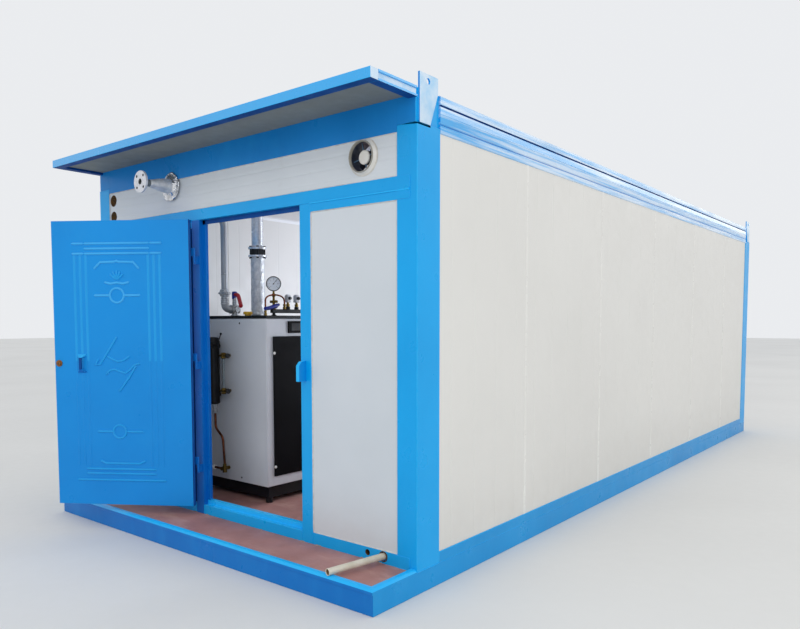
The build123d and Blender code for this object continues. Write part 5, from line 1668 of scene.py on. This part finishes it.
# vent: foil-wrapped lower run, a bolted flange pair, plain pipe above
vent = {
    "x": -0.603, "y": -2.695, "wrap": 0.055, "wrapHeight": 0.475, "wrapRows": 38, "wrapEnd": 0.006,
    "tuckLow": 0.012, "tuckHigh": 0.014, "crumple": 0.003, "creases": 60,
    "flanges": ((1.995, 0.016), (2.056, 0.018)), "rim": 0.074, "rimEdge": 0.0015, "rimInner": 0.030,
    # profiles as (radius, height above the ground)
    "pipe": [(0.056, 2.074), (0.050, 2.082), (0.046, 2.090), (0.046, 2.500)],
    "gasket": [(0.050, 2.010), (0.052, 2.030), (0.052, 2.040), (0.050, 2.057)],
    "rust": [(0.054, 2.0738), (0.056, 2.0765), (0.064, 2.0762), (0.067, 2.0738)], "rustRough": 0.0012,
    "bolts": 6, "boltTurn": 0.35, "boltCircle": 0.063,
    "head": [(0, 0), (0.009, 0), (0.010, 0.002), (0.010, 0.009), (0, 0.009)], "headZ": 2.074,
    "nut": [(0, 0), (0.010, 0), (0.010, 0.009), (0, 0.009)], "nutZ": 1.995,
    "shank": [(0.0065, 0), (0.0065, 0.064)], "shankZ": 2.005,
}
ventX, ventY = vent["x"], vent["y"]
ventAxis = (ventX, ventY, 0)
wrap, wrapEnd, wrapRows = vent["wrap"], vent["wrapEnd"], vent["wrapRows"]
wrapStep = (vent["wrapHeight"] - 2 * wrapEnd) / wrapRows
foilRows = [(wrap - vent["tuckLow"], 0.0)] + [(wrap, wrapEnd + i * wrapStep) for i in range(wrapRows + 1)]
foilRows.append((wrap - vent["tuckHigh"], vent["wrapHeight"]))
wrapFolds = crumple(vent["crumple"], vent["creases"])
turnedPiece("ventFoil", [(foilRows, (ventX, ventY, boiler["lidTop"]), zAxis, 52, 0, wrapFolds)],
            [foilTape], stands=["vent_lagging"], slot="foil", flat=True)
ventRows = [(vent["pipe"], ventAxis, zAxis, 40)]
rim, rimEdge, rimInner = vent["rim"], vent["rimEdge"], vent["rimInner"]
for z, thick in vent["flanges"]:
    flange = [(rimInner, 0), (rim - rimEdge, 0), (rim, rimEdge), (rim, thick - rimEdge),
              (rim - rimEdge, thick), (rimInner, thick)]
    ventRows.append((flange, (ventX, ventY, z), zAxis, 48))
turnedPiece("ventPipe", ventRows, [galvPipe], stands=["vent_pipe"], slot="stainless", sharp=25)
# a black gasket between the flanges, its black also painted shade for the gap
turnedPiece("ventGasket", [(vent["gasket"], ventAxis, zAxis, 40)], [rubber], slot="black_paint", sharp=50)


def rustWobble(point):
    return vent["rustRough"] * noise.noise(point * 90)


turnedPiece("ventRust", [(vent["rust"], ventAxis, zAxis, 40, 0, rustWobble)],
            [rustBloom], slot="stainless", sharp=60)
boltRows = []
for k in range(vent["bolts"]):
    a = 2 * pi * (k + vent["boltTurn"]) / vent["bolts"]
    boltX, boltY = ventX + vent["boltCircle"] * cos(a), ventY + vent["boltCircle"] * sin(a)
    boltRows += [(vent["head"], (boltX, boltY, vent["headZ"]), zAxis, 6),
                 (vent["nut"], (boltX, boltY, vent["nutZ"]), down, 6),
                 (vent["shank"], (boltX, boltY, vent["shankZ"]), zAxis, 14)]
turnedPiece("ventBolts", boltRows, [blackCoat], slot="valve_steel", sharp=30)

# gauge group: black manifold, brass stem with a hex cross, copper arch, gauge with needle and numbers
group = {
    "x": -0.250, "start": -2.865, "end": -2.445, "half": 0.015, "low": 1.545, "high": 1.575, "edge": 0.004,
    "leg": [(0.020, 0), (0.020, 0.005), (0.012, 0.008), (0.012, 0.022)], "legInset": 0.025, "gaugeY": -2.840,
    # stem profile as (radius, height above the ground)
    "stem": [
        (0.016, 1.574), (0.016, 1.590), (0.010, 1.593), (0.010, 1.622), (0.015, 1.625), (0.015, 1.638),
        (0.009, 1.641), (0.009, 1.668), (0.014, 1.671), (0.014, 1.690), (0.008, 1.693), (0.008, 1.712)],
    "crossZ": 1.631, "crossHalf": 0.028, "crossRadius": 0.007, "crossNut": [(0.012, -0.006), (0.012, 0.006)],
    "archX": 0.0143, "archRadius": 0.0062, "span": 0.095, "spring": 1.618, "crown": 1.682, "archPower": 0.55,
    "archSteps": 24, "archStart": 1.540, "archEnd": 1.588,
    "archNut": [
        (0.012, 0.0), (0.012, 0.016), (0.009, 0.018), (0.009, 0.024), (0.011, 0.026), (0.011, 0.038),
        (0.006, 0.041)],
    # blue lever as (along the manifold from the gauge, height, radius)
    "lever": [
        (-0.112, 1.577, 0.0160), (-0.070, 1.582, 0.0190), (-0.010, 1.598, 0.0190), (0.022, 1.608, 0.0140)],
    "leverX": 0.030, "leverFlat": 0.8, "pivot": [(0.011, 0), (0.011, 0.016), (0, 0.017)], "pivotX": 0.016,
    "pivotZ": 1.590,
}
mx, gy = group["x"], group["gaugeY"]
manifold = bmesh.new()
addBlock(manifold, (mx - group["half"], group["start"], group["low"]),
         (mx + group["half"], group["end"], group["high"]), group["edge"])
for y in (gy, group["end"] - group["legInset"]):
    addLathe(manifold, group["leg"], (mx, y, boiler["lidTop"]), zAxis, 28)
addPiece("gaugeManifold", manifold, [blackCoat, blackCoat], stands=["gauge_manifold"], slot="black_paint")
stem = bmesh.new()
addLathe(stem, group["stem"], (mx, gy, 0), zAxis, 24)
crossEnds = [(mx + side * group["crossHalf"], gy, group["crossZ"]) for side in (-1, 1)]
addTube(stem, crossEnds, group["crossRadius"], sides=16)
for end in crossEnds:
    addLathe(stem, group["crossNut"], end, xAxis, 6)
archX = mx + group["archX"]
for y, foot in ((gy - group["span"], boiler["lidTop"]), (gy + group["span"], group["high"])):
    addLathe(stem, group["archNut"], (archX, y, foot), zAxis, 6)
addPiece("gaugeStem", stem, [agedBrass], slot="brass", sharp=30)
leverBlue = bmesh.new()
addTube(leverBlue, [(mx + group["leverX"], gy + run, z) for run, z, radius in group["lever"]],
        [radius for run, z, radius in group["lever"]], sides=16, flat=group["leverFlat"], up=zAxis)
addLathe(leverBlue, group["pivot"], (mx + group["pivotX"], gy, group["pivotZ"]), xAxis, 20)
addPiece("cockLeverBlue", leverBlue, [blueVinyl], slot="switch_grey", sharp=35)
archPath = [(archX, gy - group["span"], group["archStart"])]
for i in range(group["archSteps"] + 1):
    a = pi * i / group["archSteps"]
    rise = (group["crown"] - group["spring"]) * sin(a) ** group["archPower"]
    archPath.append((archX, gy - group["span"] * cos(a), group["spring"] + rise))
archPath.append((archX, gy + group["span"], group["archEnd"]))
arch = bmesh.new()
addTube(arch, archPath, group["archRadius"], sides=14)
addPiece("copperArch", arch, [copper], stands=["gauge_pipe"], slot="copper", sharp=40)

# pressure gauge: turned towards the door; lengths across the dial are shares of its radius
gauge = {
    "height": 1.766, "radius": 0.057, "depth": 0.034, "turn": -40,
    # profiles as (share of the radius, distance from the front)
    "case": [(0, -0.034), (0.86, -0.034), (0.96, -0.030), (0.97, -0.010), (0.97, -0.008)],
    "bezel": [(0.95, -0.011), (1, -0.010), (1, -0.002), (0.97, 0), (0.90, 0), (0.88, -0.004)],
    "card": [(0, -0.006), (0.9, -0.006), (0.9, -0.008)],
    "marksBack": 0.0058, "firstMark": 225, "markStep": 9, "marks": 31, "longMark": 0.66, "shortMark": 0.74,
    "markEnd": 0.82, "longHalf": 0.0008, "shortHalf": 0.0005, "markThick": 0.0004,
    "needle": 52, "needleTail": 0.22, "needleTip": 0.68, "needleHalf": 0.0012, "needleLow": 0.0010,
    "needleHigh": 0.0018, "needleEdge": 0.0003, "pin": [(0.005, 0), (0.005, 0.003), (0, 0.0032)],
    "numbers": 7, "numberStep": 45, "numberSize": 0.010, "numberCircle": 0.52,
}
facing = Vector((cos(radians(gauge["turn"])), sin(radians(gauge["turn"])), 0))
gr = gauge["radius"]
gaugeFront = Vector((mx, gy, gauge["height"])) + facing * (gauge["depth"] / 2)


def gaugeRow(key, steps):
    return [(share * gr, rise) for share, rise in gauge[key]], gaugeFront, facing, steps


turnedPiece("gaugeCase", [gaugeRow("case", 56)], [gaugeCase], stands=["pressure_gauge"], slot="gauge_case")
turnedPiece("gaugeBezel", [gaugeRow("bezel", 56)], [gaugeCase], slot="gauge_case", sharp=30)
turnedPiece("gaugeDial", [gaugeRow("card", 48)], [dialCard], slot="gauge_case")
dialRight = Vector(zAxis).cross(facing).normalized()
dialCentre = gaugeFront - facing * gauge["marksBack"]
dialMatrix = Matrix.Translation(dialCentre) @ Matrix((
    (dialRight.x, 0, facing.x, 0), (dialRight.y, 0, facing.y, 0), (0, 1, 0, 0), (0, 0, 0, 1)))
marks = bmesh.new()
for k in range(gauge["marks"]):
    isLong = k % 5 == 0
    inner = gr * (gauge["longMark"] if isLong else gauge["shortMark"])
    halfMark = gauge["longHalf"] if isLong else gauge["shortHalf"]
    turn = dialMatrix @ Matrix.Rotation(radians(gauge["firstMark"] - gauge["markStep"] * k), 4, "Z")
    addBlock(marks, (inner, -halfMark, 0), (gr * gauge["markEnd"], halfMark, gauge["markThick"]), 0, turn)
addBlock(marks, (-gr * gauge["needleTail"], -gauge["needleHalf"], gauge["needleLow"]),
         (gr * gauge["needleTip"], gauge["needleHalf"], gauge["needleHigh"]), gauge["needleEdge"],
         dialMatrix @ Matrix.Rotation(radians(gauge["needle"]), 4, "Z"))
addLathe(marks, gauge["pin"], dialCentre, facing, 20)
for k in range(gauge["numbers"]):
    a = radians(gauge["firstMark"] - gauge["numberStep"] * k)
    digits = bpy.data.curves.new("dialNumber", "FONT")
    digits.body = str(2 * k)
    digits.size = gauge["numberSize"]
    digits.align_x = digits.align_y = "CENTER"
    holder = bpy.data.objects.new("dialNumber", digits)
    scene.collection.objects.link(holder)
    bpy.context.view_layer.update()
    flatMesh = bpy.data.meshes.new_from_object(holder.evaluated_get(bpy.context.evaluated_depsgraph_get()))
    out = gr * gauge["numberCircle"]
    flatMesh.transform(dialMatrix @ Matrix.Translation((out * cos(a), out * sin(a), gauge["markThick"])))
    marks.from_mesh(flatMesh)
    bpy.data.objects.remove(holder)
    bpy.data.curves.remove(digits)
    bpy.data.meshes.remove(flatMesh)
addPiece("gaugeMarks", marks, [gaugeCase, gaugeCase], slot="gauge_case", flat=True)

# pressure switches: grey shells on black bodies with brass unions and a side plug
switch = {
    "y": (-2.697, -2.607),
    # blocks as (half width, bottom, top, edge)
    "shell": [(0.018, 1.628, 1.684, 0.004), (0.012, 1.683, 1.690, 0.002)],
    "foot": [(0.016, 0), (0.017, 0.003), (0.017, 0.017), (0.012, 0.020)],
    "plug": [(0, 0.020), (0.010, 0.019), (0.012, 0.012), (0.012, 0.0)], "plugX": 0.017, "plugZ": 1.660,
    "union": [(0.010, 0), (0.014, 0.002), (0.014, 0.020), (0.009, 0.024), (0.009, 0.036)], "unionZ": 1.594,
}
shells, feet, unions = [], [], []
for y in switch["y"]:
    for half, bottom, top, edge in switch["shell"]:
        shells.append(((mx - half, y - half, bottom), (mx + half, y + half, top), edge))
    feet += [(switch["foot"], (mx, y, group["high"]), zAxis, 24),
             (switch["plug"], (mx + switch["plugX"], y, switch["plugZ"]), xAxis, 20)]
    unions.append((switch["union"], (mx, y, switch["unionZ"]), zAxis, 6))
blockPiece("pressureSwitches", shells, switchShell, stands=["pressure_switches"], slot="switch_grey")
turnedPiece("switchFeet", feet, [rubber], slot="black_paint", sharp=30)
turnedPiece("switchUnions", unions, [agedBrass], slot="brass", sharp=30)

# filler cap: ribbed yellow cap on a short neck
filler = {
    "x": -0.420, "y": -2.950, "ribs": 20, "ribEdge": 0.0008,
    "ribLow": (0.0325, -0.0022, 0.011), "ribHigh": (0.0350, 0.0022, 0.025),
    "cap": [
        (0.024, 0.0), (0.024, 0.008), (0.034, 0.009), (0.034, 0.026), (0.031, 0.031), (0.018, 0.032),
        (0, 0.030)],
}
capBm = bmesh.new()
capBase = (filler["x"], filler["y"], boiler["lidTop"])
addLathe(capBm, filler["cap"], capBase, zAxis, 40)
for k in range(filler["ribs"]):
    turn = Matrix.Translation(capBase) @ Matrix.Rotation(2 * pi * k / filler["ribs"], 4, "Z")
    addBlock(capBm, filler["ribLow"], filler["ribHigh"], filler["ribEdge"], turn)
addPiece("fillerCap", capBm, [yellowCap, yellowCap], stands=["filler_cap"], slot="cap_yellow", sharp=30)
print("pipework dressed")

# floor of the studio
floor = {"half": 60, "drop": 0.001}
floorPaint = makeFinish(
    "paleStudioFloor", colour="#E3E3E1", cloud="#DEDEDC", cloudMm=3000, rough=0.75, grainMm=20, grain=0.02)
ground = bpy.data.meshes.new("studioFloor")
groundBm = bmesh.new()
bmesh.ops.create_grid(groundBm, x_segments=1, y_segments=1, size=floor["half"])
groundBm.to_mesh(ground)
groundBm.free()
ground.materials.append(floorPaint)
groundObject = bpy.data.objects.new("studioFloor", ground)
groundObject.location.z = -floor["drop"]
scene.collection.objects.link(groundObject)
